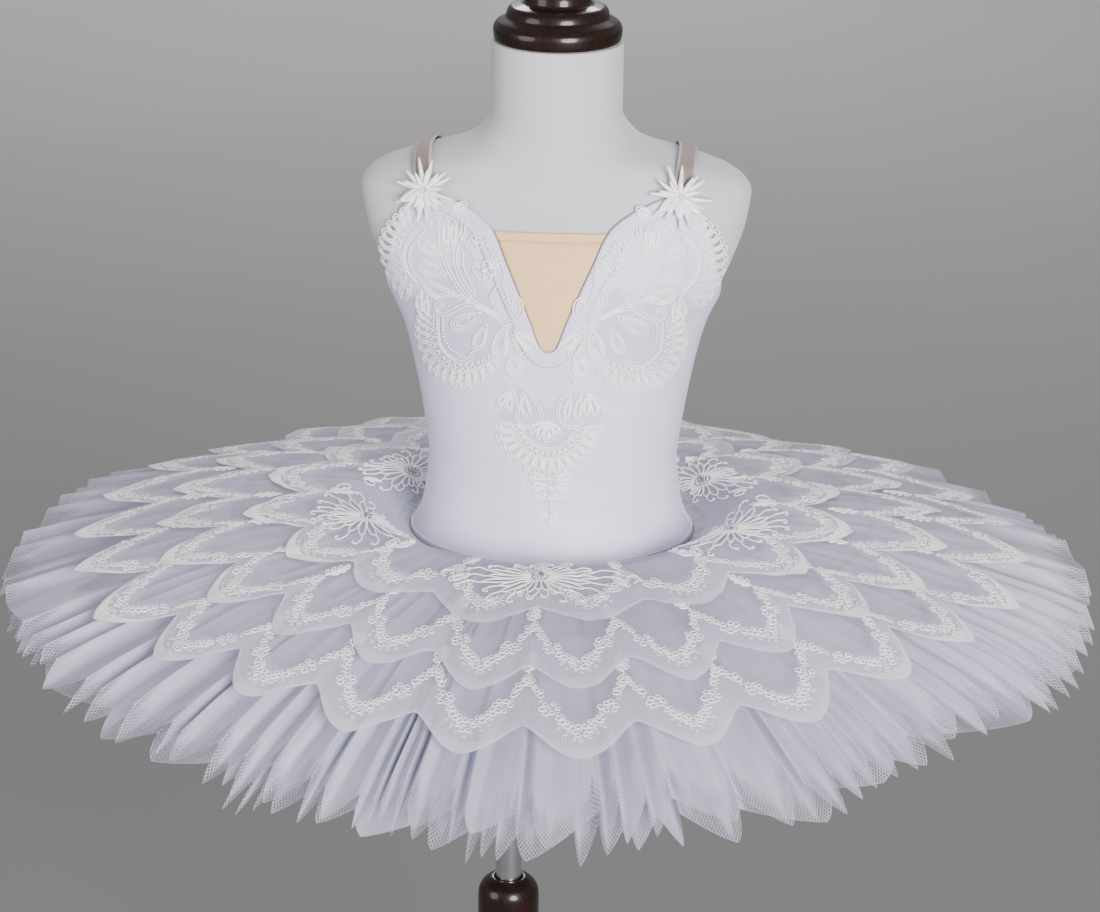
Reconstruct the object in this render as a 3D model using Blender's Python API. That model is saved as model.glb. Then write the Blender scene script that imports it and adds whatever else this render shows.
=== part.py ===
"""A child's white pancake tutu on a limbless dress form with a round wooden stand.

Metres, +Z up, front towards -Y. The origin is on the floor, on the axis of the stand's post.
The form and the garment are laid out round the torso's own axis, with height 0 at the seam
where the skirt meets the bodice, and an empty carries them at their place on the post.
"Left" and "right" are the wearer's.
"""

import math
from collections import namedtuple

import bmesh
import bpy
from mathutils import Vector

MM = 0.001

# Stand
BASE_RADIUS = 0.150
BASE_HEIGHT = 0.022
COLUMN_TOP = 0.331
COLUMN_RADIUS = 0.0235
POST_RADIUS = 0.010
POST_BOTTOM = 0.120
BORE_RADIUS = POST_RADIUS + 0.6 * MM
BORE_BOTTOM = 0.055
CLAMP_HEIGHT = 0.296
CLAMP_RADIUS = 0.011

# Dress form
SEAM_HEIGHT = 0.620  # floor to the seam between bodice and skirt
TORSO_OFFSET = 0.030  # post to the torso's axis, along X
FORM_COLUMNS = 28
SOCKET_DEPTH = 0.070
NECK_RADIUS = 0.0466

# Cloth
GAP = 0.3 * MM  # between pieces at a seam
FORM_GAP = 1.3 * MM  # form to the inside of the bodice
CLOTH_WALL = 1.2 * MM
CLOTH_OUTSIDE = FORM_GAP + CLOTH_WALL
SEAM_DEGREES = 89.9  # a side seam, short of 90 by half its gap
NUDE_WALL = 1.0 * MM
BINDING_WIDTH = 11 * MM
BINDING_WALL = 1.0 * MM
BINDING_CROWN = 0.3 * MM
STRAP_WIDTH = 13 * MM
STRAP_GAP = 1.1 * MM
STRAP_CENTRE = (0, 0.25)  # (y, height) that the strap's route is swung round
STRAP_FRONT = 0.0905  # from the centre line to the strap's middle at the bodice's front
STRAP_BACK = 0.066  # and at the bodice's back
STRAP_BOW = 7 * MM  # how much further out it runs over the shoulder
GUSSET_WIDTH = 36 * MM

# Corded lace on the bodice
LACE_SPREAD = 0.105  # metres of lace for each radian round the torso
CHEST_BASE = CLOTH_OUTSIDE + GAP + BINDING_WALL + BINDING_CROWN + GAP  # over the binding
CENTRE_BASE = CLOTH_OUTSIDE + 0.4 * MM
LACE_WALL = 1.0 * MM
PETAL_RISE = 0.7 * MM
STAR_POINTS = 10
STAR_BASE = CHEST_BASE + 2.0 * MM
STAR_PLACE = (39.5, 0.2665)  # degrees from the front, height

# Skirt
SKIRT_RADIUS = 0.405
SKIRT_CLEAR = CLOTH_OUTSIDE + 0.6 * MM
NET_WALL = 1.3 * MM
NET_STEP = NET_WALL + 0.8 * MM
TIER_WALL = 1.2 * MM
TIER_GAP = 0.6 * MM
TIER_STEP = 1.8 * MM
TIER_BAND = 0.030  # the scallop's stitched border, as a share of the skirt's width
FLOWER_SHARE = 0.13
FLOWER_LEVEL = 3.4  # in steps of one tier, clear of the inner tier's border
FLOWER_PETALS = 8
FLOWER_DEGREES = (0, 68, 125, 180, 235, 292)

Section = namedtuple("Section", "height half_width front back")
SECTIONS = [
    Section(-0.130, 0.0830, 0.0600, 0.0660),
    Section(-0.118, 0.0955, 0.0720, 0.0780),
    Section(-0.100, 0.1025, 0.0790, 0.0860),
    Section(-0.060, 0.1065, 0.0830, 0.0915),
    Section(-0.020, 0.1055, 0.0845, 0.0890),
    Section(0.000, 0.1024, 0.0830, 0.0840),
    Section(0.020, 0.0935, 0.0780, 0.0770),
    Section(0.040, 0.0900, 0.0745, 0.0720),
    Section(0.060, 0.0885, 0.0725, 0.0690),
    Section(0.085, 0.0912, 0.0735, 0.0690),
    Section(0.110, 0.0950, 0.0755, 0.0710),
    Section(0.135, 0.0998, 0.0775, 0.0740),
    Section(0.160, 0.1060, 0.0800, 0.0770),
    Section(0.190, 0.1180, 0.0800, 0.0780),
    Section(0.215, 0.1285, 0.0760, 0.0760),
    Section(0.240, 0.1365, 0.0680, 0.0700),
    Section(0.262, 0.1395, 0.0580, 0.0600),
    Section(0.272, 0.1340, 0.0545, 0.0565),
    Section(0.279, 0.1240, 0.0520, 0.0535),
    Section(0.285, 0.1080, 0.0505, 0.0515),
    Section(0.289, 0.0925, 0.0495, 0.0505),
    Section(0.2925, 0.0775, 0.0490, 0.0495),
    Section(0.300, 0.0590, 0.0480, 0.0485),
    Section(0.318, NECK_RADIUS, NECK_RADIUS, NECK_RADIUS),
    Section(0.367, NECK_RADIUS, NECK_RADIUS, NECK_RADIUS),
]

# A row runs across half a panel: from its edge nearest the centre line to its outer edge,
# each as degrees from the front and a height. Ease is how many millimetres more its outer
# edge stands off.
Row = namedtuple("Row", "inner_degrees inner_height outer_degrees outer_height ease")
BODICE_FRONT = [
    Row(0, GAP / 2, SEAM_DEGREES, GAP / 2, 0),
    Row(0, 0.020, SEAM_DEGREES, 0.020, 0),
    Row(0, 0.040, SEAM_DEGREES, 0.040, 0),
    Row(0, 0.060, SEAM_DEGREES, 0.060, 0),
    Row(0, 0.085, SEAM_DEGREES, 0.085, 0),
    Row(0, 0.110, SEAM_DEGREES, 0.110, 0),
    Row(0, 0.135, SEAM_DEGREES, 0.130, 0),
    Row(0, 0.164, SEAM_DEGREES, 0.150, 0),
    Row(4.2, 0.184, SEAM_DEGREES, 0.165, 0),
    Row(8.4, 0.204, SEAM_DEGREES, 0.1775, 0.3),
    Row(12.5, 0.224, 79, 0.193, 0.9),
    Row(16.5, 0.244, 65, 0.212, 0.9),
    Row(25.0, 0.2585, 54, 0.238, 0.6),
    Row(33.5, 0.266, 46.5, 0.2615, 0.4),
]
NECK_ROW = 7  # where the front's neck opening starts
BODICE_BACK = [
    Row(180, GAP / 2, 180 - SEAM_DEGREES, GAP / 2, 0),
    Row(180, 0.020, 180 - SEAM_DEGREES, 0.020, 0),
    Row(180, 0.040, 180 - SEAM_DEGREES, 0.040, 0),
    Row(180, 0.060, 180 - SEAM_DEGREES, 0.060, 0),
    Row(180, 0.085, 180 - SEAM_DEGREES, 0.085, 0),
    Row(180, 0.110, 180 - SEAM_DEGREES, 0.125, 0),
    Row(180, 0.145, 180 - SEAM_DEGREES, 0.1775, 0),
]
# The brief's lower edge, degrees round from the middle of its front or of its back.
Edge = namedtuple("Edge", "degrees height")
LEG_FRONT = [
    Edge(0, -0.118),
    Edge(13, -0.115),
    Edge(26, -0.102),
    Edge(39, -0.087),
    Edge(64, -0.056),
    Edge(90, -0.024),
]
LEG_BACK = [
    Edge(0, -0.118),
    Edge(13, -0.116),
    Edge(26, -0.112),
    Edge(39, -0.102),
    Edge(64, -0.070),
    Edge(90, -0.024),
]
BRIEF_SHARES = (0, 0.25, 0.51, 0.85, 1)  # its rows, as shares of its depth
BRIEF_EASE = 1.0 * MM

# An outline goes round a piece of lace: degrees from its sideways axis, radius in millimetres.
Reach = namedtuple("Reach", "degrees radius")
CHEST_CENTRE = (0.0696, 0.185)
CHEST_OUTLINE = [
    Reach(-161, 51),
    Reach(-146, 48),
    Reach(-125, 52),
    Reach(-103, 54),
    Reach(-73, 58),
    Reach(-49, 63),
    Reach(-34, 56),
    Reach(-12, 49),
    Reach(0, 64),
    Reach(14, 74),
    Reach(33, 71),
    Reach(66, 68),
    Reach(86, 67),
    Reach(102, 68),
    Reach(126, 55),
    Reach(147, 45),
    Reach(176, 43),
    Reach(199, 51),
]
CHEST_PETALS = 24
CENTRE_CENTRE = (0, 0.100)
CENTRE_OUTLINE = [
    Reach(-90, 70),
    Reach(-78, 47),
    Reach(-50, 35),
    Reach(-26, 42),
    Reach(-8, 44),
    Reach(7, 43),
    Reach(20, 57),
    Reach(42, 54),
    Reach(68, 45),
    Reach(90, 24),
]
CENTRE_PETALS = 16
FLOWER_OUTLINE = [
    Reach(-180, 56),
    Reach(-90, 33),
    Reach(0, 56),
    Reach(90, 56),
    Reach(180, 56),
]

# The skirt from its seam, share 0, to its hem, share 1: the top net's height, and how much
# of a net's full ripple it has there.
Fall = namedtuple("Fall", "share height ripple")
SKIRT_FALL = [
    Fall(0.00, 0.001, 0.04),
    Fall(0.13, 0.015, 0.10),
    Fall(0.40, 0.007, 0.28),
    Fall(0.84, -0.028, 0.78),
    Fall(1.00, -0.045, 1.00),
]
# How much higher the hem hangs, each way round from the front.
Hang = namedtuple("Hang", "degrees height")
HEM_HANG = [
    Hang(0, -0.007),
    Hang(20, -0.005),
    Hang(50, 0.009),
    Hang(90, 0.013),
    Hang(120, 0.004),
    Hang(150, -0.008),
    Hang(180, -0.011),
]
HEM_WAVES = 9
HEM_WAVE = 3.5 * MM
HEM_SWING = 5 * MM  # how far the hem wanders in and out
Net = namedtuple("Net", "pleats ripple shares")
NETS = [
    Net(60, 9.0 * MM, (0, 0.13, 0.40, 0.84, 1.00)),
    Net(48, 8.0 * MM, (0, 0.40, 0.84, 0.975)),
    Net(40, 6.5 * MM, (0, 0.40, 0.84)),
    Net(32, 5.0 * MM, (0, 0.40, 0.70)),
]
PLEAT_SPREAD = 0.30  # how uneven the pleats' spacing is, as a share of half a pleat
PLEAT_DEPTH = 0.40  # how uneven their depth is, as a share of the deepest
Tier = namedtuple("Tier", "name scallops level start knee valley tip")
TIERS = [
    Tier("lace_tier_outer", 27, 0, 0.44, None, 0.65, 0.83),
    Tier("lace_tier_middle", 24, 1, 0.25, 0.40, 0.46, 0.625),
    Tier("lace_tier_inner", 16, 2, 0.03, 0.13, 0.27, 0.395),
]


class Curve:
    """A curve through points (key, value) that doesn't overshoot between them."""

    def __init__(self, keys, values):
        self.keys = list(keys)
        self.values = list(values)
        pairs = list(zip(self.keys, self.values))
        rises = [(b[1] - a[1]) / (b[0] - a[0]) for a, b in zip(pairs, pairs[1:])]
        self.slopes = [rises[0]]
        for before, after in zip(rises, rises[1:]):
            flat = before * after <= 0
            self.slopes.append(0 if flat else 2 * before * after / (before + after))
        self.slopes.append(rises[-1])

    def at(self, key):
        key = min(max(key, self.keys[0]), self.keys[-1])
        i = 0
        while i < len(self.keys) - 2 and key > self.keys[i + 1]:
            i += 1
        span = self.keys[i + 1] - self.keys[i]
        t = (key - self.keys[i]) / span
        ends = self.values[i] * (1 + 2 * t) * (1 - t) ** 2 + self.values[i + 1] * t * t * (3 - 2 * t)
        turns = self.slopes[i] * t * (1 - t) ** 2 + self.slopes[i + 1] * t * t * (t - 1)
        return ends + span * turns


def curve_of(table, key, value):
    return Curve([getattr(row, key) for row in table], [getattr(row, value) for row in table])


def straight(table, key, value, at):
    """The table's value by straight lines between its rows."""
    for low, high in zip(table, table[1:]):
        if at <= getattr(high, key):
            break
    share = (at - getattr(low, key)) / (getattr(high, key) - getattr(low, key))
    return getattr(low, value) + share * (getattr(high, value) - getattr(low, value))


HALF_WIDTH = curve_of(SECTIONS, "height", "half_width")
FRONT = curve_of(SECTIONS, "height", "front")
BACK = curve_of(SECTIONS, "height", "back")
HANG = curve_of(HEM_HANG, "degrees", "height")


def on_section(degrees, height):
    """The torso's surface, degrees round from the front towards +X."""
    turn = math.radians(degrees)
    depth = FRONT if math.cos(turn) > 0 else BACK
    return Vector(
        (HALF_WIDTH.at(height) * math.sin(turn), -depth.at(height) * math.cos(turn), height)
    )


def on_torso(degrees, height, out=0.0):
    """A point `out` metres off the torso's surface, along its normal."""
    step = 0.5
    rise = 0.5 * MM
    across = on_section(degrees + step, height) - on_section(degrees - step, height)
    up = on_section(degrees, height + rise) - on_section(degrees, height - rise)
    return on_section(degrees, height) + across.cross(up).normalized() * out


def inside_torso(x, y, height):
    if not SECTIONS[0].height < height < SECTIONS[-1].height:
        return False
    depth = (FRONT if y < 0 else BACK).at(height)
    return (x / HALF_WIDTH.at(height)) ** 2 + (y / depth) ** 2 < 1


def finish(name, colour, roughness, metallic=0.0):
    material = bpy.data.materials.new(name)
    material.use_nodes = True
    shader = material.node_tree.nodes["Principled BSDF"]
    shader.inputs["Base Color"].default_value = (*colour, 1)
    shader.inputs["Roughness"].default_value = roughness
    shader.inputs["Metallic"].default_value = metallic
    material.diffuse_color = (*colour, 1)
    return material


class Sheet:
    """Cloth or lace: faces over corners that each have an inner and an outer point."""

    def __init__(self):
        self.inner = []
        self.outer = []
        self.faces = []

    def corner(self, inner, outer):
        self.inner.append(inner)
        self.outer.append(outer)
        return len(self.inner) - 1

    def strip(self, below, above):
        """Faces between two rows of corners of the same length."""
        for i in range(len(below) - 1):
            self.faces.append((below[i], below[i + 1], above[i + 1], above[i]))

    def ring(self, below, above):
        self.strip(below + below[:1], above + above[:1])

    def fan(self, centre, around):
        for a, b in zip(around, around[1:] + around[:1]):
            self.faces.append((centre, b, a))

    def build(self, name, material, parent, smooth=True):
        """One closed wall: both sides of the sheet and its edges."""
        count = len(self.inner)
        faces = list(self.faces) + [tuple(count + i for i in reversed(f)) for f in self.faces]
        edges = {(a, b) for f in self.faces for a, b in zip(f, f[1:] + f[:1])}
        for a, b in sorted(edges):
            if (b, a) not in edges:
                faces.append((b, a, count + a, count + b))
        mesh = bpy.data.meshes.new(name)
        mesh.from_pydata(self.outer + self.inner, [], faces)
        return add_object(name, mesh, material, parent, smooth)


def add_object(name, mesh, material, parent, smooth=True):
    """A closed mesh as an object, with its faces turned outwards."""
    work = bmesh.new()
    work.from_mesh(mesh)
    bmesh.ops.recalc_face_normals(work, faces=work.faces)
    work.to_mesh(mesh)
    work.free()
    mesh.materials.append(material)
    if smooth:
        mesh.shade_smooth()
        mesh.set_sharp_from_angle(angle=math.radians(40))
    thing = bpy.data.objects.new(name, mesh)
    bpy.context.scene.collection.objects.link(thing)
    thing.parent = parent
    return thing


def turned(name, profile, steps, material, parent=None):
    """A turned piece: profile (radius, height) runs from the axis down its outer side."""
    mesh = bpy.data.meshes.new(name)
    points = [(radius, 0, height) for radius, height in profile]
    mesh.from_pydata(points, [(i, i + 1) for i in range(len(points) - 1)], [])
    mesh.materials.append(material)
    thing = bpy.data.objects.new(name, mesh)
    bpy.context.scene.collection.objects.link(thing)
    thing.parent = parent
    lathe = thing.modifiers.new("Turn", "SCREW")
    lathe.steps = steps
    lathe.render_steps = steps
    lathe.use_merge_vertices = True
    lathe.merge_threshold = 0.1 * MM
    lathe.use_smooth_shade = True
    return thing


# Stand


def make_stand(wood, steel):
    turned(
        "stand_base",
        [
            (0, BASE_HEIGHT),
            (0.075, BASE_HEIGHT),
            (BASE_RADIUS - 0.012, 0.015),
            (BASE_RADIUS, 0.009),
            (BASE_RADIUS, 0),
            (0, 0),
        ],
        32,
        wood,
    )
    foot = BASE_HEIGHT + GAP
    turned(
        "stand_column",
        [
            (0, BORE_BOTTOM),
            (BORE_RADIUS, BORE_BOTTOM),
            (BORE_RADIUS, COLUMN_TOP),
            (0.015, COLUMN_TOP - 0.001),
            (0.0205, COLUMN_TOP - 0.005),
            (COLUMN_RADIUS, COLUMN_TOP - 0.013),
            (COLUMN_RADIUS, COLUMN_TOP - 0.060),
            (0.020, COLUMN_TOP - 0.068),
            (0.020, foot + 0.045),
            (0.027, foot + 0.025),
            (0.046, foot + 0.010),
            (0.046, foot),
            (0, foot),
        ],
        20,
        wood,
    )
    knob = turned(
        "clamp_knob",
        [
            (0, 0.020),
            (CLAMP_RADIUS * 0.7, 0.020),
            (CLAMP_RADIUS, 0.016),
            (CLAMP_RADIUS, 0.008),
            (0.004, 0.005),
            (0.004, 0),
            (0, 0),
        ],
        12,
        steel,
    )
    knob.rotation_euler = (-math.pi / 2, 0, 0)
    knob.location = (0, COLUMN_RADIUS + GAP, CLAMP_HEIGHT)


def make_post(steel):
    top = SEAM_HEIGHT + SECTIONS[0].height + SOCKET_DEPTH - GAP
    turned(
        "post",
        [(0, top), (POST_RADIUS, top), (POST_RADIUS, POST_BOTTOM), (0, POST_BOTTOM)],
        24,
        steel,
    )


# Dress form


def make_form(jersey, parent):
    rings = [
        [on_section(360 * i / FORM_COLUMNS, row.height) for i in range(FORM_COLUMNS)]
        for row in SECTIONS
    ]
    work = bmesh.new()
    rows = [[work.verts.new(point) for point in ring] for ring in rings]
    for below, above in zip(rows, rows[1:]):
        for i in range(FORM_COLUMNS):
            j = (i + 1) % FORM_COLUMNS
            work.faces.new((below[i], below[j], above[j], above[i]))
    work.faces.new(rows[0])
    work.faces.new(rows[-1])
    mesh = bpy.data.meshes.new("dress_form")
    work.to_mesh(mesh)
    work.free()
    form = add_object("dress_form", mesh, jersey, parent)
    cut_socket(form, parent)


def cut_socket(form, parent):
    """The blind hole in the form's underside that the post stands in."""
    past = 0.010
    mesh = bpy.data.meshes.new("socket_cutter")
    work = bmesh.new()
    bmesh.ops.create_cone(
        work, cap_ends=True, segments=24, radius1=BORE_RADIUS, radius2=BORE_RADIUS,
        depth=SOCKET_DEPTH + past,
    )
    work.to_mesh(mesh)
    work.free()
    cutter = bpy.data.objects.new("socket_cutter", mesh)
    bpy.context.scene.collection.objects.link(cutter)
    cutter.parent = parent
    middle = SECTIONS[0].height + (SOCKET_DEPTH - past) / 2
    cutter.location = (-TORSO_OFFSET, 0, middle)
    cutter.hide_render = True
    cutter.display_type = "WIRE"
    cut = form.modifiers.new("Socket", "BOOLEAN")
    cut.operation = "DIFFERENCE"
    cut.object = cutter


def make_neck(wood, bronze, parent):
    base = SECTIONS[-1].height + GAP
    cap_top = 0.036
    turned(
        "neck_cap",
        [
            (0, base + cap_top),
            (0.0205, base + cap_top),
            (0.0232, base + 0.031),
            (0.0236, base + 0.027),
            (0.0330, base + 0.0245),
            (0.0360, base + 0.021),
            (0.0368, base + 0.017),
            (0.0430, base + 0.0135),
            (0.0457, base + 0.008),
            (0.0450, base + 0.001),
            (0.0430, base),
            (0, base),
        ],
        24,
        wood,
        parent,
    )
    low = base + cap_top + GAP
    ball = 0.020
    arc = [math.radians(a) for a in (90, 66, 42, 18, -6, -30, -52)]
    round_side = [(ball * math.cos(a), low + 0.020 + ball * math.sin(a)) for a in arc]
    turned(
        "neck_finial",
        [(0, round_side[0][1]), *round_side[1:], (0.0125, low), (0, low)],
        16,
        bronze,
        parent,
    )


# Bodice, brief and straps


def panel(name, rows, columns, wall, material, parent, split_row=None):
    """Both halves of a panel. Past split_row its centre line parts into two edges."""
    keys = range(len(rows))
    parts = [Curve(keys, [getattr(row, field) for row in rows]) for field in Row._fields]
    inner, outer = wall
    sheet = Sheet()
    grid = []
    for at in keys:
        from_degrees, from_height, to_degrees, to_height, ease = (part.at(at) for part in parts)
        split = split_row is not None and at > split_row
        line = {}
        for side in (-1, 1):
            for i in range(columns + 1):
                if i == 0 and side == 1 and not split:
                    line[side, 0] = line[-1, 0]
                    continue
                share = i / columns
                degrees = side * (from_degrees + share * (to_degrees - from_degrees))
                height = from_height + share * (to_height - from_height)
                off = share * ease * MM
                line[side, i] = sheet.corner(
                    on_torso(degrees, height, inner + off), on_torso(degrees, height, outer + off)
                )
        grid.append(line)
    for below, above in zip(grid, grid[1:]):
        left = [(-1, i) for i in range(columns, -1, -1)]
        right = [(1, i) for i in range(columns + 1)]
        for run in (left, right):
            sheet.strip([below[k] for k in run], [above[k] for k in run])
    return sheet.build(name, material, parent)


def make_brief(name, middle, leg_line, cloth, parent):
    """Half of the brief, from its seam down to its leg openings."""
    leg = curve_of(leg_line, "degrees", "height")
    step = 360 / FORM_COLUMNS
    side = [step * i for i in range(math.ceil(SEAM_DEGREES / step))] + [SEAM_DEGREES]
    columns = [-degrees for degrees in reversed(side[1:])] + side
    sheet = Sheet()
    rows = []
    for share in BRIEF_SHARES:
        line = []
        for degrees in columns:
            height = -GAP / 2 + share * (leg.at(abs(degrees)) + GAP / 2)
            off = BRIEF_EASE * min(1, 4 * share)
            line.append(
                sheet.corner(
                    on_torso(middle + degrees, height, FORM_GAP + off),
                    on_torso(middle + degrees, height, CLOTH_OUTSIDE + off),
                )
            )
        rows.append(line)
    for above, below in zip(rows, rows[1:]):
        sheet.strip(below, above)
    sheet.build(name, cloth, parent)


def neck_edge(at):
    """The front neck edge at a row of BODICE_FRONT, as (degrees, height)."""
    keys = range(len(BODICE_FRONT))
    degrees = Curve(keys, [row.inner_degrees for row in BODICE_FRONT]).at(at)
    height = Curve(keys, [row.inner_height for row in BODICE_FRONT]).at(at)
    return degrees, height


def make_modesty_panel(nude, parent):
    """The skin-coloured piece that fills the neck opening, with a raised hem along its top."""
    ats = [NECK_ROW + share for share in (0.4, 1.2, 2.1, 3.0, 3.7, 4.1)]
    hem_rows = 2
    columns = 4
    seam = 0.35
    inner, outer = FORM_GAP, FORM_GAP + NUDE_WALL
    sheet = Sheet()
    grid = []
    for index, at in enumerate(ats):
        edge, height = neck_edge(at)
        raised = 0.4 * MM if index >= len(ats) - hem_rows else 0
        line = []
        for i in range(columns + 1):
            degrees = (edge - seam) * (2 * i / columns - 1)
            line.append(
                sheet.corner(
                    on_torso(degrees, height, inner), on_torso(degrees, height, outer + raised)
                )
            )
        grid.append(line)
    for below, above in zip(grid, grid[1:]):
        sheet.strip(below, above)
    sheet.build("modesty_panel", nude, parent)


def lace_point(across, height, out):
    """A point over the torso, `across` metres of lace sideways from the centre front."""
    return on_torso(math.degrees(across / LACE_SPREAD), height, out)


def make_binding(satin, parent):
    """The band stitched flat round the neck opening."""
    last = len(BODICE_FRONT) - 1
    steps = 11
    edge = []
    for i in range(-steps, steps + 1):
        at = NECK_ROW + (last - NECK_ROW) * abs(i) / steps
        degrees, height = neck_edge(at)
        across = math.radians(degrees) * LACE_SPREAD
        edge.append(Vector((math.copysign(across, i) if i else 0, height)))
    low, high = CLOTH_OUTSIDE + GAP, CLOTH_OUTSIDE + GAP + BINDING_WALL
    sheet = Sheet()
    rows = []
    for share in (0, 0.5, 1):
        line = []
        for i, point in enumerate(edge):
            along = edge[min(i + 1, len(edge) - 1)] - edge[max(i - 1, 0)]
            away = Vector((along.y, -along.x)).normalized()
            place = point + away * (share * BINDING_WIDTH)
            crown = BINDING_CROWN if share == 0.5 else 0
            line.append(
                sheet.corner(lace_point(*place, low), lace_point(*place, high + crown))
            )
        rows.append(line)
    for below, above in zip(rows, rows[1:]):
        sheet.strip(below, above)
    sheet.build("neck_binding", satin, parent)


def ribbon(name, edges, wall, material, parent):
    """A strip between routes of points, each moved off along its own normal in its YZ plane."""
    inner, outer = wall
    sheet = Sheet()
    lines = []
    for route in edges:
        line = []
        for i, point in enumerate(route):
            along = route[min(i + 1, len(route) - 1)] - route[max(i - 1, 0)]
            out = Vector((0, -along.z, along.y)).normalized()
            line.append(sheet.corner(point + out * inner, point + out * outer))
        lines.append(line)
    for one, other in zip(lines, lines[1:]):
        sheet.strip(one, other)
    return sheet.build(name, material, parent)


def swing(x, y, height):
    """The angle of a point about the middle of the strap's route, 0 at the front."""
    return math.atan2(height - STRAP_CENTRE[1], STRAP_CENTRE[0] - y)


def make_strap(name, side, elastic, parent):
    """Over the shoulder, from the top of the bodice's front to the top of its back."""
    start = swing(0, -0.0443, 0.2668)
    end = swing(0, 0.0585, 0.1648) + 2 * math.pi
    steps = 15
    edges = []
    for shift in (-STRAP_WIDTH / 2, STRAP_WIDTH / 2):
        route = []
        for i in range(steps + 1):
            share = i / steps
            turn = start + share * (end - start)
            bow = STRAP_BOW * math.sin(math.pi * share)
            x = side * (STRAP_FRONT + (STRAP_BACK - STRAP_FRONT) * share**2 + bow) + shift
            near, far = 0.0, 0.2
            for _ in range(30):
                middle = (near + far) / 2
                y = STRAP_CENTRE[0] - middle * math.cos(turn)
                height = STRAP_CENTRE[1] + middle * math.sin(turn)
                if inside_torso(x, y, height):
                    near = middle
                else:
                    far = middle
            route.append(Vector((x, y, height)))
        edges.append(route)
    ribbon(name, edges, (STRAP_GAP, STRAP_GAP + NUDE_WALL), elastic, parent)


def make_gusset(cloth, parent):
    """Under the form, from the bottom of the brief's front to the bottom of its back."""
    bottom = SECTIONS[0].height
    heights = [LEG_FRONT[0].height - GAP, -0.124, bottom]
    edges = []
    for x in (-GUSSET_WIDTH / 2, GUSSET_WIDTH / 2):
        sides = []
        for depth, sign in ((FRONT, -1), (BACK, 1)):
            side = []
            for height in heights:
                reach = math.sqrt(1 - (x / HALF_WIDTH.at(height)) ** 2)
                side.append(Vector((x, sign * depth.at(height) * reach, height)))
            sides.append(side)
        middle = [Vector((x, y, bottom)) for y in (-0.02, 0.02)]
        edges.append(sides[1] + middle[::-1] + sides[0][::-1])
    wall = (FORM_GAP + BRIEF_EASE, CLOTH_OUTSIDE + BRIEF_EASE)
    ribbon("brief_gusset", edges, wall, cloth, parent)


# Corded lace


def medallion(name, outline, petals, place, material, parent, rings=(0.34, 0.67, 1.0), notch=0.05):
    """Lace that radiates from a point: a raised petal on every other spoke of its outline.

    place(across, up, out) gives a point on what the lace lies on, `out` above the lace's base.
    """
    keys = [reach.degrees for reach in outline]
    radius = Curve(keys, [reach.radius * MM for reach in outline])
    sheet = Sheet()
    centre = sheet.corner(place(0, 0, 0), place(0, 0, LACE_WALL + 2 * PETAL_RISE))
    spokes = 2 * petals
    rows = []
    for ring in rings:
        line = []
        for i in range(spokes):
            degrees = keys[0] + 360 * i / spokes
            at = degrees if degrees <= keys[-1] else 180 - degrees
            petal = i % 2 == 1
            edge = radius.at(at) * ring * (1 + (notch if petal else -notch) * ring)
            across = edge * math.cos(math.radians(degrees))
            up = edge * math.sin(math.radians(degrees))
            high = LACE_WALL + (PETAL_RISE if petal else 0)
            line.append(sheet.corner(place(across, up, 0), place(across, up, high)))
        rows.append(line)
    sheet.fan(centre, rows[0])
    for below, above in zip(rows, rows[1:]):
        sheet.ring(below, above)
    return sheet.build(name, material, parent, smooth=False)


def make_bodice_lace(lace, parent):
    for name, side in (("chest_lace_left", 1), ("chest_lace_right", -1)):
        across_0, height_0 = CHEST_CENTRE

        def place(across, up, out, side=side):
            return lace_point(side * (across_0 + across), height_0 + up, CHEST_BASE + out)

        medallion(name, CHEST_OUTLINE, CHEST_PETALS, place, lace, parent)

    def place_centre(across, up, out):
        return lace_point(across, CENTRE_CENTRE[1] + up, CENTRE_BASE + out)

    medallion("centre_lace", CENTRE_OUTLINE, CENTRE_PETALS, place_centre, lace, parent)


def make_stars(lace, parent):
    """A pointed flower over the top of each strap, flat against the shoulder's slope."""
    degrees, height = STAR_PLACE
    outline = [Reach(-180, 14), Reach(180, 14)]
    for name, side in (("strap_star_left", 1), ("strap_star_right", -1)):
        foot = on_torso(side * degrees, height)
        normal = (on_torso(side * degrees, height, 1) - foot).normalized()
        sideways = Vector((0, 0, 1)).cross(normal).normalized()
        upward = normal.cross(sideways)

        def place(across, up, out, foot=foot, normal=normal, sideways=sideways, upward=upward):
            return foot + sideways * across + upward * up + normal * (STAR_BASE + out)

        medallion(name, outline, STAR_POINTS, place, lace, parent, rings=(1.0,), notch=0.5)


# Skirt


def seam_radius(turn):
    """From the torso's axis to the skirt's inner edge, turn radians round from the front."""
    wide = HALF_WIDTH.at(0) + SKIRT_CLEAR
    deep = (FRONT if math.cos(turn) > 0 else BACK).at(0) + SKIRT_CLEAR
    return wide * deep / math.hypot(deep * math.sin(turn), wide * math.cos(turn))


def ripple_share(share):
    return straight(SKIRT_FALL, "share", "ripple", share)


def skirt_point(turn, share, lift):
    """A point over the top net: share 0 at its seam, 1 at its hem, lift above its middle."""
    seam = seam_radius(turn)
    radius = seam + share * (SKIRT_RADIUS - seam)
    height = straight(SKIRT_FALL, "share", "height", share) + lift
    height += share * HANG.at(abs(math.degrees(math.remainder(turn, math.tau))))
    height += HEM_WAVE * math.sin(HEM_WAVES * turn) * ripple_share(share)
    return Vector((radius * math.sin(turn), -radius * math.cos(turn), height))


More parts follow.
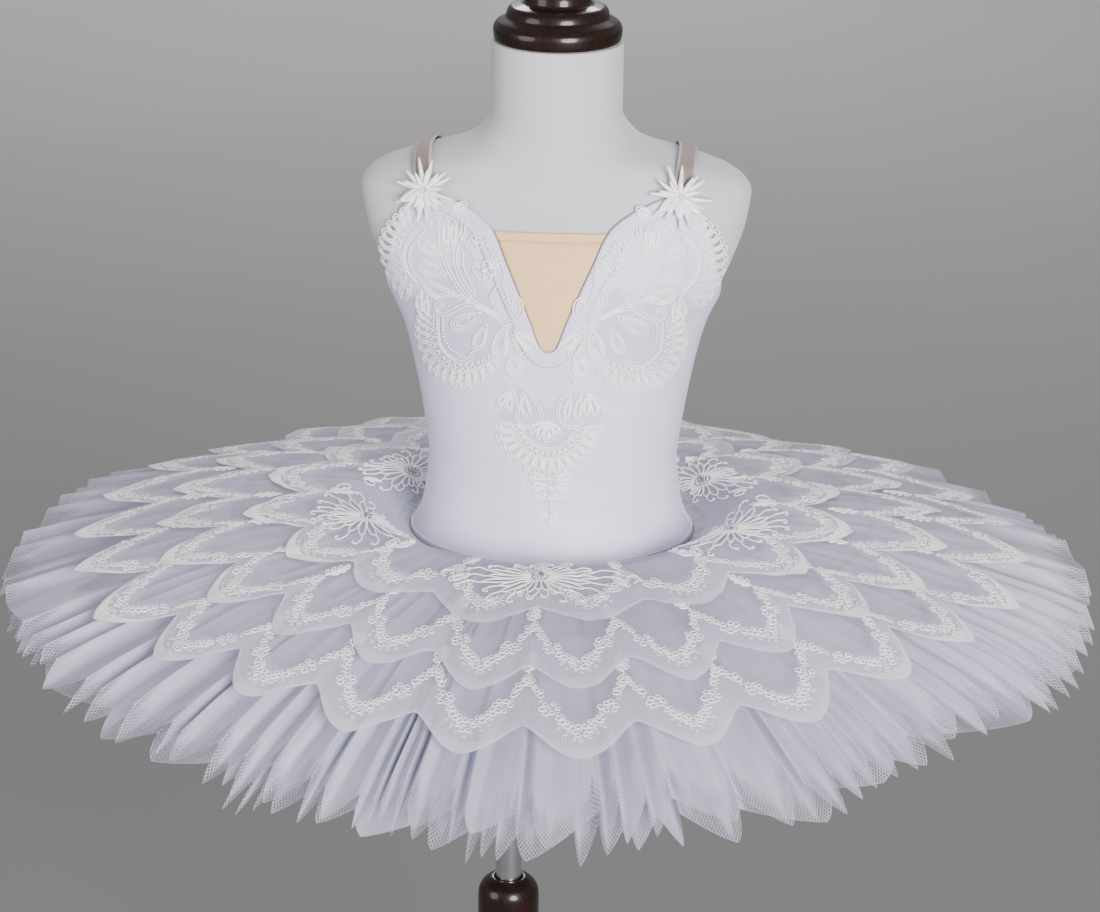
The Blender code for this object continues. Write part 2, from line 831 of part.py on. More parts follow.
def make_nets(net, parent):
    """The pleated layers, longest on top, each hung just clear of the one above."""
    for index, layer in enumerate(NETS):
        sheet = Sheet()
        rows = []
        for share in layer.shares:
            hem = share == layer.shares[-1]
            line = []
            for i in range(2 * layer.pleats):
                turn = math.pi * (i + PLEAT_SPREAD * math.sin(1.9 * i + index)) / layer.pleats
                fold = 1 if i % 2 else -1
                depth = 1 - PLEAT_DEPTH * (0.5 + 0.5 * math.sin(2.4 * i + 2 * index))
                place = share
                if hem:
                    wander = math.sin(7 * turn + index) - fold * depth
                    place -= HEM_SWING / 2 / SKIRT_RADIUS * (2 - wander)
                drop = sum(
                    NET_STEP + (upper.ripple + lower.ripple) * ripple_share(place)
                    for upper, lower in zip(NETS[:index], NETS[1 : index + 1])
                )
                lift = fold * depth * layer.ripple * ripple_share(place) - drop
                clear = 0.9 * MM * index if share == 0 else 0
                line.append(
                    sheet.corner(
                        outward(skirt_point(turn, place, lift - NET_WALL / 2), clear),
                        outward(skirt_point(turn, place, lift + NET_WALL / 2), clear),
                    )
                )
            rows.append(line)
        for below, above_row in zip(rows, rows[1:]):
            sheet.ring(below, above_row)
        sheet.build(f"net_layer_{index + 1}", net, parent, smooth=False)


def outward(point, distance):
    """The point moved straight away from the torso's axis."""
    flat = Vector((point.x, point.y, 0)).normalized()
    return point + flat * distance


def tier_lift(share, level):
    """The underside of a lace tier, above the middle of the top net."""
    crest = NETS[0].ripple * ripple_share(share) + NET_WALL / 2
    return crest + TIER_GAP + level * TIER_STEP


def make_tiers(lace, parent):
    """Scalloped lace laid over the net in three tiers, with a raised border."""
    corners = (0.0, 0.62, 1.0, 0.62)  # how far out the edge is round one scallop
    for tier in TIERS:
        sheet = Sheet()
        columns = tier.scallops * len(corners)
        edge = [
            tier.valley + (tier.tip - tier.valley) * corners[i % len(corners)]
            for i in range(columns)
        ]
        rings = [[tier.start] * columns]
        if tier.knee:
            rings.append([tier.knee] * columns)
        rings.append([share - TIER_BAND for share in edge])
        rings.append(edge)
        rows = []
        for ring in rings:
            border = ring is rings[-1] or ring is rings[-2]
            rise = TIER_WALL + (0.4 * MM if border else 0)
            line = []
            for i, share in enumerate(ring):
                turn = math.tau * i / columns
                low = tier_lift(share, tier.level)
                line.append(
                    sheet.corner(
                        skirt_point(turn, share, low), skirt_point(turn, share, low + rise)
                    )
                )
            rows.append(line)
        for below, above in zip(rows, rows[1:]):
            sheet.ring(below, above)
        sheet.build(tier.name, lace, parent, smooth=False)


def make_skirt_flowers(lace, parent):
    """A flower over the inner tier at each of six places round the basque."""
    for number, degrees in enumerate(FLOWER_DEGREES, 1):
        turn_0 = math.radians(degrees)
        width = SKIRT_RADIUS - seam_radius(turn_0)
        radius = seam_radius(turn_0) + FLOWER_SHARE * width

        def place(across, up, out, turn_0=turn_0, width=width, radius=radius):
            share = FLOWER_SHARE + up / width
            return skirt_point(turn_0 + across / radius, share, tier_lift(share, FLOWER_LEVEL) + out)

        name = f"skirt_flower_{number}"
        medallion(name, FLOWER_OUTLINE, FLOWER_PETALS, place, lace, parent, (0.45, 1.0), 0.08)


def main():
    for old in list(bpy.data.objects):
        bpy.data.objects.remove(old)
    wood = finish("dark_wood", (0.045, 0.018, 0.012), 0.25)
    steel = finish("chromed_steel", (0.75, 0.75, 0.77), 0.12, 1.0)
    bronze = finish("bronzed_metal", (0.30, 0.24, 0.19), 0.28, 1.0)
    jersey = finish("white_jersey", (0.80, 0.80, 0.82), 0.85)
    cloth = finish("white_stretch_satin", (0.84, 0.83, 0.90), 0.45)
    nude = finish("nude_stretch_cloth", (0.76, 0.62, 0.47), 0.70)
    elastic = finish("nude_elastic", (0.62, 0.50, 0.46), 0.55)
    net = finish("stiff_net", (0.76, 0.76, 0.84), 0.60)
    lace = finish("corded_lace", (0.88, 0.88, 0.91), 0.50)

    make_stand(wood, steel)
    make_post(steel)

    torso = bpy.data.objects.new("torso_frame", None)
    bpy.context.scene.collection.objects.link(torso)
    torso.location = (TORSO_OFFSET, 0, SEAM_HEIGHT)
    make_form(jersey, torso)
    make_neck(wood, bronze, torso)

    wall = (FORM_GAP, CLOTH_OUTSIDE)
    panel("bodice_front", BODICE_FRONT, 7, wall, cloth, torso, split_row=NECK_ROW)
    panel("bodice_back", BODICE_BACK, 7, wall, cloth, torso)
    make_brief("brief_front", 0, LEG_FRONT, cloth, torso)
    make_brief("brief_back", 180, LEG_BACK, cloth, torso)
    make_gusset(cloth, torso)
    make_modesty_panel(nude, torso)
    make_binding(cloth, torso)
    make_strap("strap_left", 1, elastic, torso)
    make_strap("strap_right", -1, elastic, torso)
    make_bodice_lace(lace, torso)
    make_stars(lace, torso)

    make_nets(net, torso)
    make_tiers(lace, torso)
    make_skirt_flowers(lace, torso)


main()
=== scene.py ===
"""Looks of a child's white pancake tutu, its limbless dress form and the turned stand under it.

Metres, +Z up, front towards -Y, and "left" and "right" are the wearer's. Shapes of the form and
the garment are worked out round the torso's own axis, with height 0 at the seam where the skirt
meets the bodice, and TORSO_PLACE carries them to their place on the stand's post.
"""

import logging
import math
from collections.abc import Callable, Sequence
from dataclasses import dataclass, field
from enum import Enum

import bmesh
import bpy
import numpy as np
from bpy.types import Material, Mesh, Node, NodeSocket, NodeTree, Object
from mathutils import Matrix
from numpy import ndarray as Array


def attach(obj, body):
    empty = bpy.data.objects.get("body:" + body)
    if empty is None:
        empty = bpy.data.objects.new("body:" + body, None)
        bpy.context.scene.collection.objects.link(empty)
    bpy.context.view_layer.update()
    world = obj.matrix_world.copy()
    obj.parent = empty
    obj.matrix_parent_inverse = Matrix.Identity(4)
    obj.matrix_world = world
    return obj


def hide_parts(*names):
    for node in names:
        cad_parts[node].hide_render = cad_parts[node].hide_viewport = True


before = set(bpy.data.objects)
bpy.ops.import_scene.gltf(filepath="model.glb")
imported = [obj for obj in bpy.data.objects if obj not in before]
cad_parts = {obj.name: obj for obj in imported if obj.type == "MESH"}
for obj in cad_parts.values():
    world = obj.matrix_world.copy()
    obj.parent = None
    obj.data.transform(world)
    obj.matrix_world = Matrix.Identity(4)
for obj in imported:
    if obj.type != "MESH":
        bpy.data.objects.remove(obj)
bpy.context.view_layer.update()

LOG = logging.getLogger("tutu")
MM = 0.001
TORSO_PLACE = np.array((0.030, 0.0, 0.620))
Triple = tuple[float, float, float]
Colour = Triple
Point = tuple[float, float]
Rows = Sequence[tuple[float, ...]]
SIDES = (("left", 1), ("right", -1))
Place = Callable[[Array, Array], tuple[Array, Array]]
Sockets = dict[str | int, object] | None


class Body(Enum):
    """The bodies that pieces ride on."""

    STAND = "stand"
    POST = "post"
    FORM = "form"


class Slot(Enum):
    """The finishes that the record names."""

    SATIN = "white_stretch_satin"
    LACE = "corded_lace"
    NET = "stiff_net"
    NUDE = "nude_stretch_cloth"
    ELASTIC = "nude_elastic"
    JERSEY = "white_jersey"
    WOOD = "dark_wood"
    BRONZE = "bronzed_metal"
    CHROME = "chromed_steel"


class Held(Enum):
    """How a sheet of cloth is held."""

    GATHERED = "gathered"
    STRETCHED = "stretched"
    LAID = "laid"


# Node trees


def maths(operation: str, flip: bool = False) -> Callable[..., "Wire"]:
    """A method of Wire that adds one Math node.

    Args:
        operation: the Math node's operation.
        flip: whether the wire's own value comes second.

    Returns:
        The method.
    """

    def method(wire: "Wire", *others: object) -> "Wire":
        """The node's result, for this value and others."""
        values = [wire, *others]
        if flip:
            values.reverse()
        return wire.graph.wire("ShaderNodeMath", dict(enumerate(values)), operation=operation)

    return method


class Wire:
    """A node's output, in a shader or a geometry tree, so that maths on it reads as one."""

    __add__, __radd__ = maths("ADD"), maths("ADD", True)
    __sub__, __rsub__ = maths("SUBTRACT"), maths("SUBTRACT", True)
    __mul__, __rmul__ = maths("MULTIPLY"), maths("MULTIPLY", True)
    __truediv__, __mod__, __pow__ = maths("DIVIDE"), maths("MODULO"), maths("POWER")
    __abs__, sin, least, most = maths("ABSOLUTE"), maths("SINE"), maths("MINIMUM"), maths("MAXIMUM")

    def __init__(self, graph: "Graph", socket: NodeSocket) -> None:
        """Wraps an output socket of graph."""
        self.graph = graph
        self.socket = socket

    def ramp(self, start: float, end: float, low: float = 0.0, high: float = 1.0) -> "Wire":
        """Smoothly from low, where this is start, to high, where it is end."""
        sockets = {"Value": self, "From Min": start, "From Max": end, "To Min": low, "To Max": high}
        return self.graph.wire("ShaderNodeMapRange", sockets, interpolation_type="SMOOTHSTEP")


class Graph:
    """A node tree, and the one way that nodes are added to it."""

    def __init__(self, tree: NodeTree) -> None:
        """Works on tree, whose old nodes stay."""
        self.tree = tree

    def node(self, kind: str, sockets: Sockets = None, **settings: object) -> Node:
        """Adds one node.

        Args:
            kind: its Blender type.
            sockets: numbers, colours, sockets or Wires for its inputs, by name or by index.
            settings: its properties, which are set first.

        Returns:
            The node.
        """
        made = self.tree.nodes.new(kind)
        for name, value in settings.items():
            setattr(made, name, value)
        for key, value in (sockets or {}).items():
            socket = made.inputs[key]
            if isinstance(value, Wire):
                value = value.socket
            if isinstance(value, NodeSocket):
                self.tree.links.new(value, socket)
            elif isinstance(value, tuple) and len(value) == 3 and socket.type == "RGBA":
                socket.default_value = (*value, 1)
            else:
                socket.default_value = value
        return made

    def wire(self, kind: str, sockets: Sockets = None, output: str | int = 0, **settings: object) -> Wire:
        """Adds one node and wraps its output of that name or index."""
        return Wire(self, self.node(kind, sockets, **settings).outputs[output])

    def blend(self, factor: object, low: object, high: object) -> Wire:
        """The colour low where factor is 0, and high where it is 1."""
        return self.wire("ShaderNodeMix", {0: factor, 6: low, 7: high}, 2, data_type="RGBA")

    def vector(self, operation: str, one: object, other: object) -> Wire:
        """One Vector Math node on two vectors, or on a vector and its scale."""
        key = "Scale" if operation == "SCALE" else 1
        return self.wire("ShaderNodeVectorMath", {0: one, key: other}, operation=operation)


class Surface(Graph):
    """A material's node tree, with its shader. Its maps are worked out in metres."""

    def __init__(self, tree: NodeTree) -> None:
        """Works on a new material's tree."""
        super().__init__(tree)
        self.shader = tree.nodes["Principled BSDF"]

    def put(self, name: str, value: Wire) -> None:
        """Leads value into one of the shader's inputs."""
        self.tree.links.new(value.socket, self.shader.inputs[name])

    def still(self, **values: float) -> None:
        """Sets the shader's inputs that are the same all over."""
        for name, value in values.items():
            self.shader.inputs[name.replace("_", " ")].default_value = value

    def emboss(self, height: Wire, depth: float) -> None:
        """Bumps the surface by a height of 0 to 1, depth metres deep."""
        self.put("Normal", self.wire("ShaderNodeBump", {"Height": height, "Distance": depth}))

    def on_object(self) -> Wire:
        """The point in metres."""
        return self.wire("ShaderNodeTexCoord", None, "Object")

    def on_cloth(self) -> tuple[Wire, Wire]:
        """Metres along the cloth and across it, from the piece's own UV map."""
        uv = self.wire("ShaderNodeUVMap", uv_map="Cloth")
        apart = self.node("ShaderNodeSeparateXYZ", {0: uv})
        return Wire(self, apart.outputs[0]), Wire(self, apart.outputs[1])

    def tagged(self, name: str) -> Wire:
        """A number that the piece carries at each point."""
        return self.wire("ShaderNodeAttribute", None, "Fac", attribute_name=name)

    def drawn(self, at: Wire, scale: Triple) -> Wire:
        """The point with each direction scaled, so that a pattern on it is drawn out."""
        return self.wire("ShaderNodeMapping", {"Vector": at, "Scale": scale})

    def noise(self, at: object, size: float, detail: float = 2.0) -> Wire:
        """Soft noise of 0 to 1 with lumps of about size metres."""
        return self.wire("ShaderNodeTexNoise", {"Vector": at, "Scale": 1 / size, "Detail": detail})

    def streaks(self, along: Wire, across: Wire, size: Triple, detail: float = 2.0) -> Wire:
        """Soft noise on the cloth, its lumps size[0] by size[1] metres, from a place of its own."""
        counted = {0: along / size[0], 1: across / size[1], 2: size[2]}
        return self.noise(self.wire("ShaderNodeCombineXYZ", counted), 1.0, detail)

    def waves(self, value: Wire, pitch: float) -> Wire:
        """From 0 to 1 and back in every pitch metres."""
        return (value * (math.tau / pitch)).sin() * 0.5 + 0.5


# Finishes


@dataclass(frozen=True)
class Finish:
    """A procedural material, and the record's slot that it belongs to."""

    name: str
    slot: Slot
    colour: Colour
    shade: Colour
    roughness: float
    relief: float = 0.1 * MM

    def material(self) -> Material:
        """This finish's material, made once."""
        made = bpy.data.materials.get(self.name)
        if made is None:
            made = bpy.data.materials.new(self.name)
            made.use_nodes = True
            made.diffuse_color = (*self.colour, 1)
            on = Surface(made.node_tree)
            on.shader.inputs["Base Color"].default_value = (*self.colour, 1)
            on.still(Roughness=self.roughness)
            self.weave(on)
        return made

    def weave(self, on: Surface) -> None:
        """Adds the finish's pattern to its shader."""
        raise NotImplementedError

    def dress(
        self, on: Surface, tone: Wire, rough: Wire | None, height: Wire | None, **still: float,
    ) -> None:
        """Leads the finish's maps into its shader.

        Args:
            on: the material's tree.
            tone: 0 where the surface has its colour, 1 where it has its shade.
            rough: its roughness.
            height: 0 to 1, for its relief.
            still: the shader's inputs that are the same all over.
        """
        on.put("Base Color", on.blend(tone, self.colour, self.shade))
        if rough:
            on.put("Roughness", rough)
        if height:
            on.emboss(height, self.relief)
        on.still(**still)


class Jersey(Finish):
    """The form's close cotton jersey."""

    def weave(self, on: Surface) -> None:
        """Fine knit loops, and cloth that is a little greyer in soft patches."""
        at = on.on_object()
        knit = on.noise(at, 0.9 * MM, 3)
        patches = on.noise(at, 60 * MM)
        rough = knit * 0.1 + (self.roughness - 0.05)
        self.dress(on, patches.ramp(0.3, 0.8), rough, knit, Sheen_Weight=0.25, Sheen_Roughness=0.5)


@dataclass(frozen=True)
class StretchSatin(Finish):
    """The bodice's smooth stretch satin: a close weave with a soft sheen."""

    thread: float = 0.55 * MM

    def weave(self, on: Surface) -> None:
        """A twill of fine threads, with long soft changes in its sheen."""
        along, across = on.on_cloth()
        fine = on.waves(along + across * 0.5, self.thread) * 0.6 + on.waves(across, self.thread) * 0.4
        soft = on.streaks(along, across, (0.05, 0.09, 0.0))
        slub = on.streaks(along, across, (0.02, 0.8 * MM, 0.0))
        tone = (soft.ramp(0.3, 0.75) * 0.7 + slub * 0.3).least(1.0)
        rough = soft * 0.14 + fine * 0.06 + (self.roughness - 0.1)
        self.dress(on, tone, rough, fine * 0.5 + slub * 0.5, Sheen_Weight=0.2, Sheen_Roughness=0.35)


class NudeCloth(Finish):
    """Skin-coloured stretch cloth, finely ribbed along its length."""

    def weave(self, on: Surface) -> None:
        """Narrow knit ribs and a faint mottling."""
        along, _ = on.on_cloth()
        ribs = on.waves(along, 0.9 * MM)
        mottle = on.noise(on.on_object(), 7 * MM, 4)
        tone = mottle.ramp(0.35, 0.7) * 0.6 + ribs * 0.25
        rough = mottle * 0.12 + (self.roughness - 0.06)
        self.dress(on, tone, rough, ribs * 0.6 + mottle * 0.4, Sheen_Weight=0.2)


@dataclass(frozen=True)
class Elastic(Finish):
    """A strap's ribbed elastic, paler along both edges."""

    width: float = 13 * MM
    selvedge: Colour = (0.62, 0.56, 0.55)

    def weave(self, on: Surface) -> None:
        """Lengthwise cords, cross threads, and a pale selvedge down each side."""
        along, across = on.on_cloth()
        cords, picks = on.waves(across, 1.3 * MM), on.waves(along, 0.8 * MM)
        edge = abs(across).ramp(self.width / 2 - 2.2 * MM, self.width / 2 - 1.0 * MM)
        tone = on.blend(cords * 0.5 + picks * 0.3, self.colour, self.shade)
        on.put("Base Color", on.blend(edge * 0.7, tone, self.selvedge))
        on.put("Roughness", picks * 0.15 + (self.roughness - 0.08))
        on.emboss(cords * 0.7 + picks * 0.3, self.relief)


class Thread(Finish):
    """Lustrous embroidery thread, worked close together."""

    def weave(self, on: Surface) -> None:
        """The thread's twist, and a sheen that comes and goes along it."""
        at = on.on_object()
        twist = on.noise(at, 0.7 * MM)
        rough = on.noise(at, 9 * MM) * 0.25 + (self.roughness - 0.12)
        self.dress(on, twist.ramp(0.35, 0.75) * 0.55, rough, twist, Sheen_Weight=0.15)


@dataclass(frozen=True)
class SatinStitch(Finish):
    """A border worked in stitches that lie side by side across it."""

    pitch: float = 1.5 * MM

    def weave(self, on: Surface) -> None:
        """Stitches across the band, which fades in from its inner edge."""
        along, across = on.on_cloth()
        wobble = on.streaks(along, across, (6 * MM, 4 * MM, 0.0))
        stitch = on.waves(along + wobble * 0.8 * MM, self.pitch)
        rough = stitch * 0.2 + (self.roughness - 0.1)
        self.dress(on, stitch * 0.55 + wobble * 0.35, rough, stitch, Sheen_Weight=0.2)
        # This is painted sheen: the band is opaque where the tag is high, at the skirt's sides, and sheer
        # elsewhere, standing in for the light its stitches catch there.
        dense = on.tagged("dense")
        on.put("Alpha", across.ramp(0.0, 3.5 * MM) * (dense + (1 - dense) * stitch * 0.4).least(1.0))


@dataclass(frozen=True)
class Net(Finish):
    """Stiff net: threads round small cells, seen as cells only where one layer stands alone.

    The cloth's second coordinate is metres in from its free edge. "part" runs 0 to 1 across
    each pleat of a pleated net, and "fold" rises across each pleat and sets its painted shade.
    """

    cell: float = 1.9 * MM
    cover: float = 0.30
    closes_at: tuple[float, float] = (0.010, 0.055)
    closed: float = 1.0
    veil: float = 0.12
    ribbed: float = 0.0
    rib_colour: Colour = (0.60, 0.60, 0.57)
    pleated: bool = False

    def weave(self, on: Surface) -> None:
        """Cells that can be seen through near the free edge, streaks of painted shade standing in for soft
        folds, and a raw edge. A pleated net gets painted shade across each pleat and a painted highlight
        along its ridges.
        """
        along, across = on.on_cloth()
        mesh = self.cells(along, across - on.tagged("grain"))
        fine = on.streaks(along, across, (1.6 * MM, 0.10, 0.0), 3)
        # folds: radial streaks of painted shade for soft folds, which also make the sheer zone's edge uneven.
        folds = on.streaks(along, across, (8 * MM, 0.30, 4.0))
        tone = (fine.ramp(0.35, 0.65) * 0.5 + folds.ramp(0.35, 0.65) * 0.35 + (1 - mesh) * 0.15).least(1.0)
        line = across.ramp(0.3 * MM, 1.0 * MM, 1.0, 0.0)
        sheer = 1 - (across + (folds - 0.5) * 0.07).ramp(*self.closes_at) * self.closed
        if self.pleated:
            # Painted highlight: each pleat's ridge is drawn brighter and more opaque. Painted shade: the tone
            # deepens across each pleat with its fold attribute.
            ridge = abs(on.tagged("part") - 0.5).ramp(0.44, 0.49)
            sheer = sheer * on.streaks(along, across, (70 * MM, 0.30, 9.0)).ramp(0.38, 0.52, 0.35, 1.0)
            line = (line * 0.7).most(ridge * 0.85)
            tone = (tone * 0.75 + on.tagged("fold") ** 1.5 * 0.35).least(1.0) * (1 - ridge * 0.9)
        base = on.blend(tone, self.colour, self.shade)
        alpha = 1 - sheer * (1 - mesh) * (1 - self.cover)
        alpha = (alpha - sheer * self.veil).most(line)
        if self.ribbed:
            base, alpha = self.ribs(on, along, across, base, alpha)
        on.put("Base Color", base)
        on.put("Alpha", alpha.least(1.0))
        on.put("Roughness", fine * 0.15 + (self.roughness - 0.08))
        on.emboss(mesh * 0.25 + fine * 0.75, self.relief)
        on.still(Sheen_Weight=0.2, Sheen_Roughness=0.4)
        self.let_light_through(on, alpha.least(1.0))

    def let_light_through(self, on: Surface, alpha: Wire) -> None:
        """Adds a share of light that comes through the threads."""
        glow = on.node("ShaderNodeBsdfTranslucent", {"Color": self.colour})
        clear = on.node("ShaderNodeBsdfTransparent")
        lit = on.node("ShaderNodeMixShader", {0: alpha, 1: clear.outputs[0], 2: glow.outputs[0]})
        mixed = on.node("ShaderNodeMixShader", {0: 0.25, 1: on.shader.outputs[0], 2: lit.outputs[0]})
        on.tree.links.new(mixed.outputs[0], on.tree.nodes["Material Output"].inputs["Surface"])

    def cells(self, along: Wire, across: Wire) -> Wire:
        """1 on the threads and 0 in the holes of a net of small leaning cells."""
        one = abs(((along + across * 0.58) * (math.pi / self.cell)).sin())
        other = abs(((along - across * 0.58) * (math.pi / self.cell)).sin())
        return one.least(other).ramp(0.20, 0.45, 1.0, 0.0)

    def ribs(self, on: Surface, along: Wire, across: Wire, base: Wire, alpha: Wire) -> tuple[Wire, Wire]:
        """Closer, greyer cloth with fine ribs in a zone along the edge."""
        zone = across.ramp(self.ribbed * 0.8, self.ribbed * 1.15, 1.0, 0.0)
        weave = (on.waves(along, 1.9 * MM) * 0.6 + on.waves(across, 2.6 * MM) * 0.4).ramp(0.25, 0.8)
        ground = on.blend(weave * 0.55, self.rib_colour, self.colour)
        return on.blend(zone, base, ground), alpha + (1 - alpha) * zone * (weave * 0.3 + 0.25)


@dataclass(frozen=True)
class TurnedWood(Finish):
    """Dark stained wood, turned, sanded and varnished. The polish is the varnish's own roughness."""

    coat: float = 0.28
    polish: float = 0.07
    specular: float = 0.2

    def weave(self, on: Surface) -> None:
        """Long grain, bent by a broader grain."""
        drawn = on.drawn(on.on_object(), (1, 1, 0.12))
        bend = on.noise(drawn, 14 * MM, 3)
        grain = on.noise(on.vector("ADD", drawn, on.vector("SCALE", bend, 0.02)), 1.4 * MM, 4)
        self.dress(
            on, grain.ramp(0.35, 0.7) * 0.7 + bend * 0.3, grain * 0.16 + self.roughness, grain,
            Coat_Weight=self.coat, Coat_Roughness=self.polish, Specular_IOR_Level=self.specular,
        )


@dataclass(frozen=True)
class Metal(Finish):
    """Bare or plated metal with a faint brushing."""

    brush: float = 0.5 * MM

    def weave(self, on: Surface) -> None:
        """Fine brushing, dulled in soft patches."""
        at = on.on_object()
        brushed = on.noise(on.drawn(at, (0.15, 0.15, 1)), self.brush)
        dull = on.noise(at, 22 * MM, 3)
        rough = brushed * 0.1 + dull * 0.1 + (self.roughness - 0.06)
        self.dress(on, dull.ramp(0.4, 0.75), rough, brushed, Metallic=1.0)


class Pearl(Finish):
    """Small moulded pearl beads."""

    def weave(self, on: Surface) -> None:
        """A milky body under a clear nacre."""
        cloud = on.noise(on.on_object(), 2 * MM)
        rough = cloud * 0.1 + (self.roughness - 0.05)
        self.dress(on, cloud, rough, None, Coat_Weight=0.7, Coat_Roughness=0.12)


class Rhinestone(Finish):
    """A foil-backed cut glass stone."""

    def weave(self, on: Surface) -> None:
        """Dark facets, and bright ones that are painted glints."""
        at = on.vector("SCALE", on.on_object(), 900.0)
        # Each facet is drawn dark or bright at random; the bright ones are painted glints.
        facet = on.wire("ShaderNodeTexVoronoi", {"Vector": at, "Scale": 1.0}, "Color")
        bright = on.wire("ShaderNodeSeparateXYZ", {0: facet})
        rough = bright * 0.2 + self.roughness
        self.dress(on, bright.ramp(0.2, 0.9), rough, None, Metallic=0.9, Coat_Weight=1.0)


class StudioPaper(Finish):
    """The pale paper that the stand is set on."""

    def weave(self, on: Surface) -> None:
        """A faint tooth and soft patches."""
        at = on.on_object()
        self.dress(on, on.noise(at, 0.9).ramp(0.3, 0.7), None, on.noise(at, 3 * MM))


JERSEY = Jersey(
    "white_cotton_jersey", Slot.JERSEY, (0.53, 0.525, 0.556), (0.498, 0.493, 0.526), 0.88, 0.08 * MM,
)
SATIN = StretchSatin(
    "lavender_white_satin", Slot.SATIN, (0.7, 0.669, 0.849), (0.656, 0.63, 0.814), 0.50, 0.05 * MM,
)
SATIN_CORD = Thread("satin_covered_cord", Slot.SATIN, (0.80, 0.79, 0.86), (0.72, 0.71, 0.79), 0.5, 0.05 * MM)
NUDE = NudeCloth("nude_stretch_knit", Slot.NUDE, (0.81, 0.525, 0.272), (0.765, 0.48, 0.243), 0.72, 0.06 * MM)
STRAP = Elastic(
    "nude_ribbed_elastic", Slot.ELASTIC, (0.304, 0.22, 0.202), (0.233, 0.167, 0.151), 0.60, 0.15 * MM,
)
THREAD = Thread("white_lace_thread", Slot.LACE, (0.96, 0.96, 0.95), (0.86, 0.86, 0.87), 0.42, 0.12 * MM)
STITCH = Thread("sewing_thread", Slot.SATIN, (0.86, 0.86, 0.90), (0.74, 0.74, 0.80), 0.6, 0.05 * MM)
# Much darker than the nude cloth: real hem stitches whose colour also paints the shadow of the hem's fold.
HEM_THREAD_AND_SHADOW = Thread(
    "hem_thread_and_painted_shadow", Slot.NUDE, (0.34, 0.235, 0.155), (0.30, 0.205, 0.135), 0.6, 0.05 * MM,
)
BORDER = SatinStitch("lace_border_stitch", Slot.LACE, (0.95, 0.95, 0.94), (0.84, 0.84, 0.85), 0.40, 0.10 * MM)
# The nets' shade colours take the painted shade of their fold streaks, and on this pleated net the painted
# shade across each pleat.
TULLE = Net(
    "stiff_white_net", Slot.NET, (0.665, 0.652, 0.785), (0.47, 0.46, 0.575), 0.62, 0.2 * MM, cell=2.4 * MM,
    cover=0.20, closes_at=(0.006, 0.030), pleated=True,
)
TIER_NET = Net(
    "fine_lace_net", Slot.LACE, (0.81, 0.788, 0.965), (0.718, 0.696, 0.88), 0.60, 0.08 * MM, cell=1.3 * MM,
    cover=0.94, closed=0.0, veil=0.56, ribbed=0.036, rib_colour=(0.79, 0.775, 0.89),
)
LACE_GROUND = Net(
    "lace_ground_net", Slot.LACE, (0.714, 0.689, 0.825), (0.663, 0.646, 0.773), 0.6, 0.05 * MM, cell=1.3 * MM,
    cover=0.7, closed=0.0, veil=0.5,
)
STAIN = ((0.005, 0.002, 0.0015), (0.019, 0.007, 0.004))
WOOD = TurnedWood("dark_turned_wood", Slot.WOOD, *STAIN, 0.28, 0.04 * MM)
BASE_WOOD = TurnedWood(
    "dark_oiled_wood", Slot.WOOD, *STAIN, 0.60, 0.05 * MM, coat=0.03, polish=0.5, specular=0.04,
)
BRONZE = Metal(
    "bronzed_metal_finish", Slot.BRONZE, (0.307, 0.26, 0.228), (0.205, 0.167, 0.144), 0.30, 0.02 * MM,
)
CHROME = Metal(
    "chromed_steel_finish", Slot.CHROME, (0.725, 0.725, 0.744), (0.614, 0.614, 0.642), 0.18, 0.01 * MM,
)
PEARL = Pearl("small_pearl", Slot.LACE, (0.88, 0.87, 0.88), (0.78, 0.77, 0.80), 0.30, 0.0)
# The stone's shade colour is its facets' painted glint.
STONE = Rhinestone("smoky_rhinestone", Slot.LACE, (0.10, 0.10, 0.12), (0.75, 0.75, 0.80), 0.12, 0.0)
PAPER = StudioPaper("studio_paper", Slot.SATIN, (0.155, 0.151, 0.152), (0.148, 0.144, 0.145), 0.95, 0.05 * MM)


# Shapes


class Curve:
    """A curve through points (key, value) that doesn't overshoot between them."""

    def __init__(self, keys: Sequence[float], values: Sequence[float]) -> None:
        """Works out the curve's slope at each point."""
        self.keys = np.array(keys, float)
        self.values = np.array(values, float)
        rises = np.diff(self.values) / np.diff(self.keys)
        inner = np.zeros(len(rises) - 1)
        same = rises[:-1] * rises[1:] > 0
        inner[same] = 2 * (rises[:-1] * rises[1:])[same] / (rises[:-1] + rises[1:])[same]
        self.slopes = np.concatenate([[rises[0]], inner, [rises[-1]]])

    def at(self, key: Array | float) -> Array:
        """The curve's value at each key."""
        key = np.clip(np.asarray(key, float), self.keys[0], self.keys[-1])
        i = np.clip(np.searchsorted(self.keys, key, "right") - 1, 0, len(self.keys) - 2)
        span = self.keys[i + 1] - self.keys[i]
        t = (key - self.keys[i]) / span
        ends = self.values[i] * (1 + 2 * t) * (1 - t) ** 2 + self.values[i + 1] * t * t * (3 - 2 * t)
        return ends + span * (self.slopes[i] * t * (1 - t) ** 2 + self.slopes[i + 1] * t * t * (t - 1))


def unit(vectors: Array) -> Array:
    """The vectors, each one metre long."""
    return vectors / np.maximum(np.linalg.norm(vectors, axis=-1, keepdims=True), 1e-12)


def together(*columns: Array) -> Array:
    """The columns side by side, spread to one shape."""
    return np.stack(np.broadcast_arrays(*columns), -1)


def run_along(points: Array) -> Array:
    """How far along its line each point lies."""
    return np.concatenate([[0], np.cumsum(np.linalg.norm(np.diff(points, axis=0), axis=1))])


def way_of(angle: float) -> Array:
    """The flat direction at angle, in radians."""
    return np.array((math.cos(angle), math.sin(angle)))


def eased(value: Array, low: float, high: float) -> Array:
    """Smoothly 0 to 1 as value goes from low to high."""
    t = np.clip((value - low) / (high - low), 0, 1)
    return t * t * (3 - 2 * t)


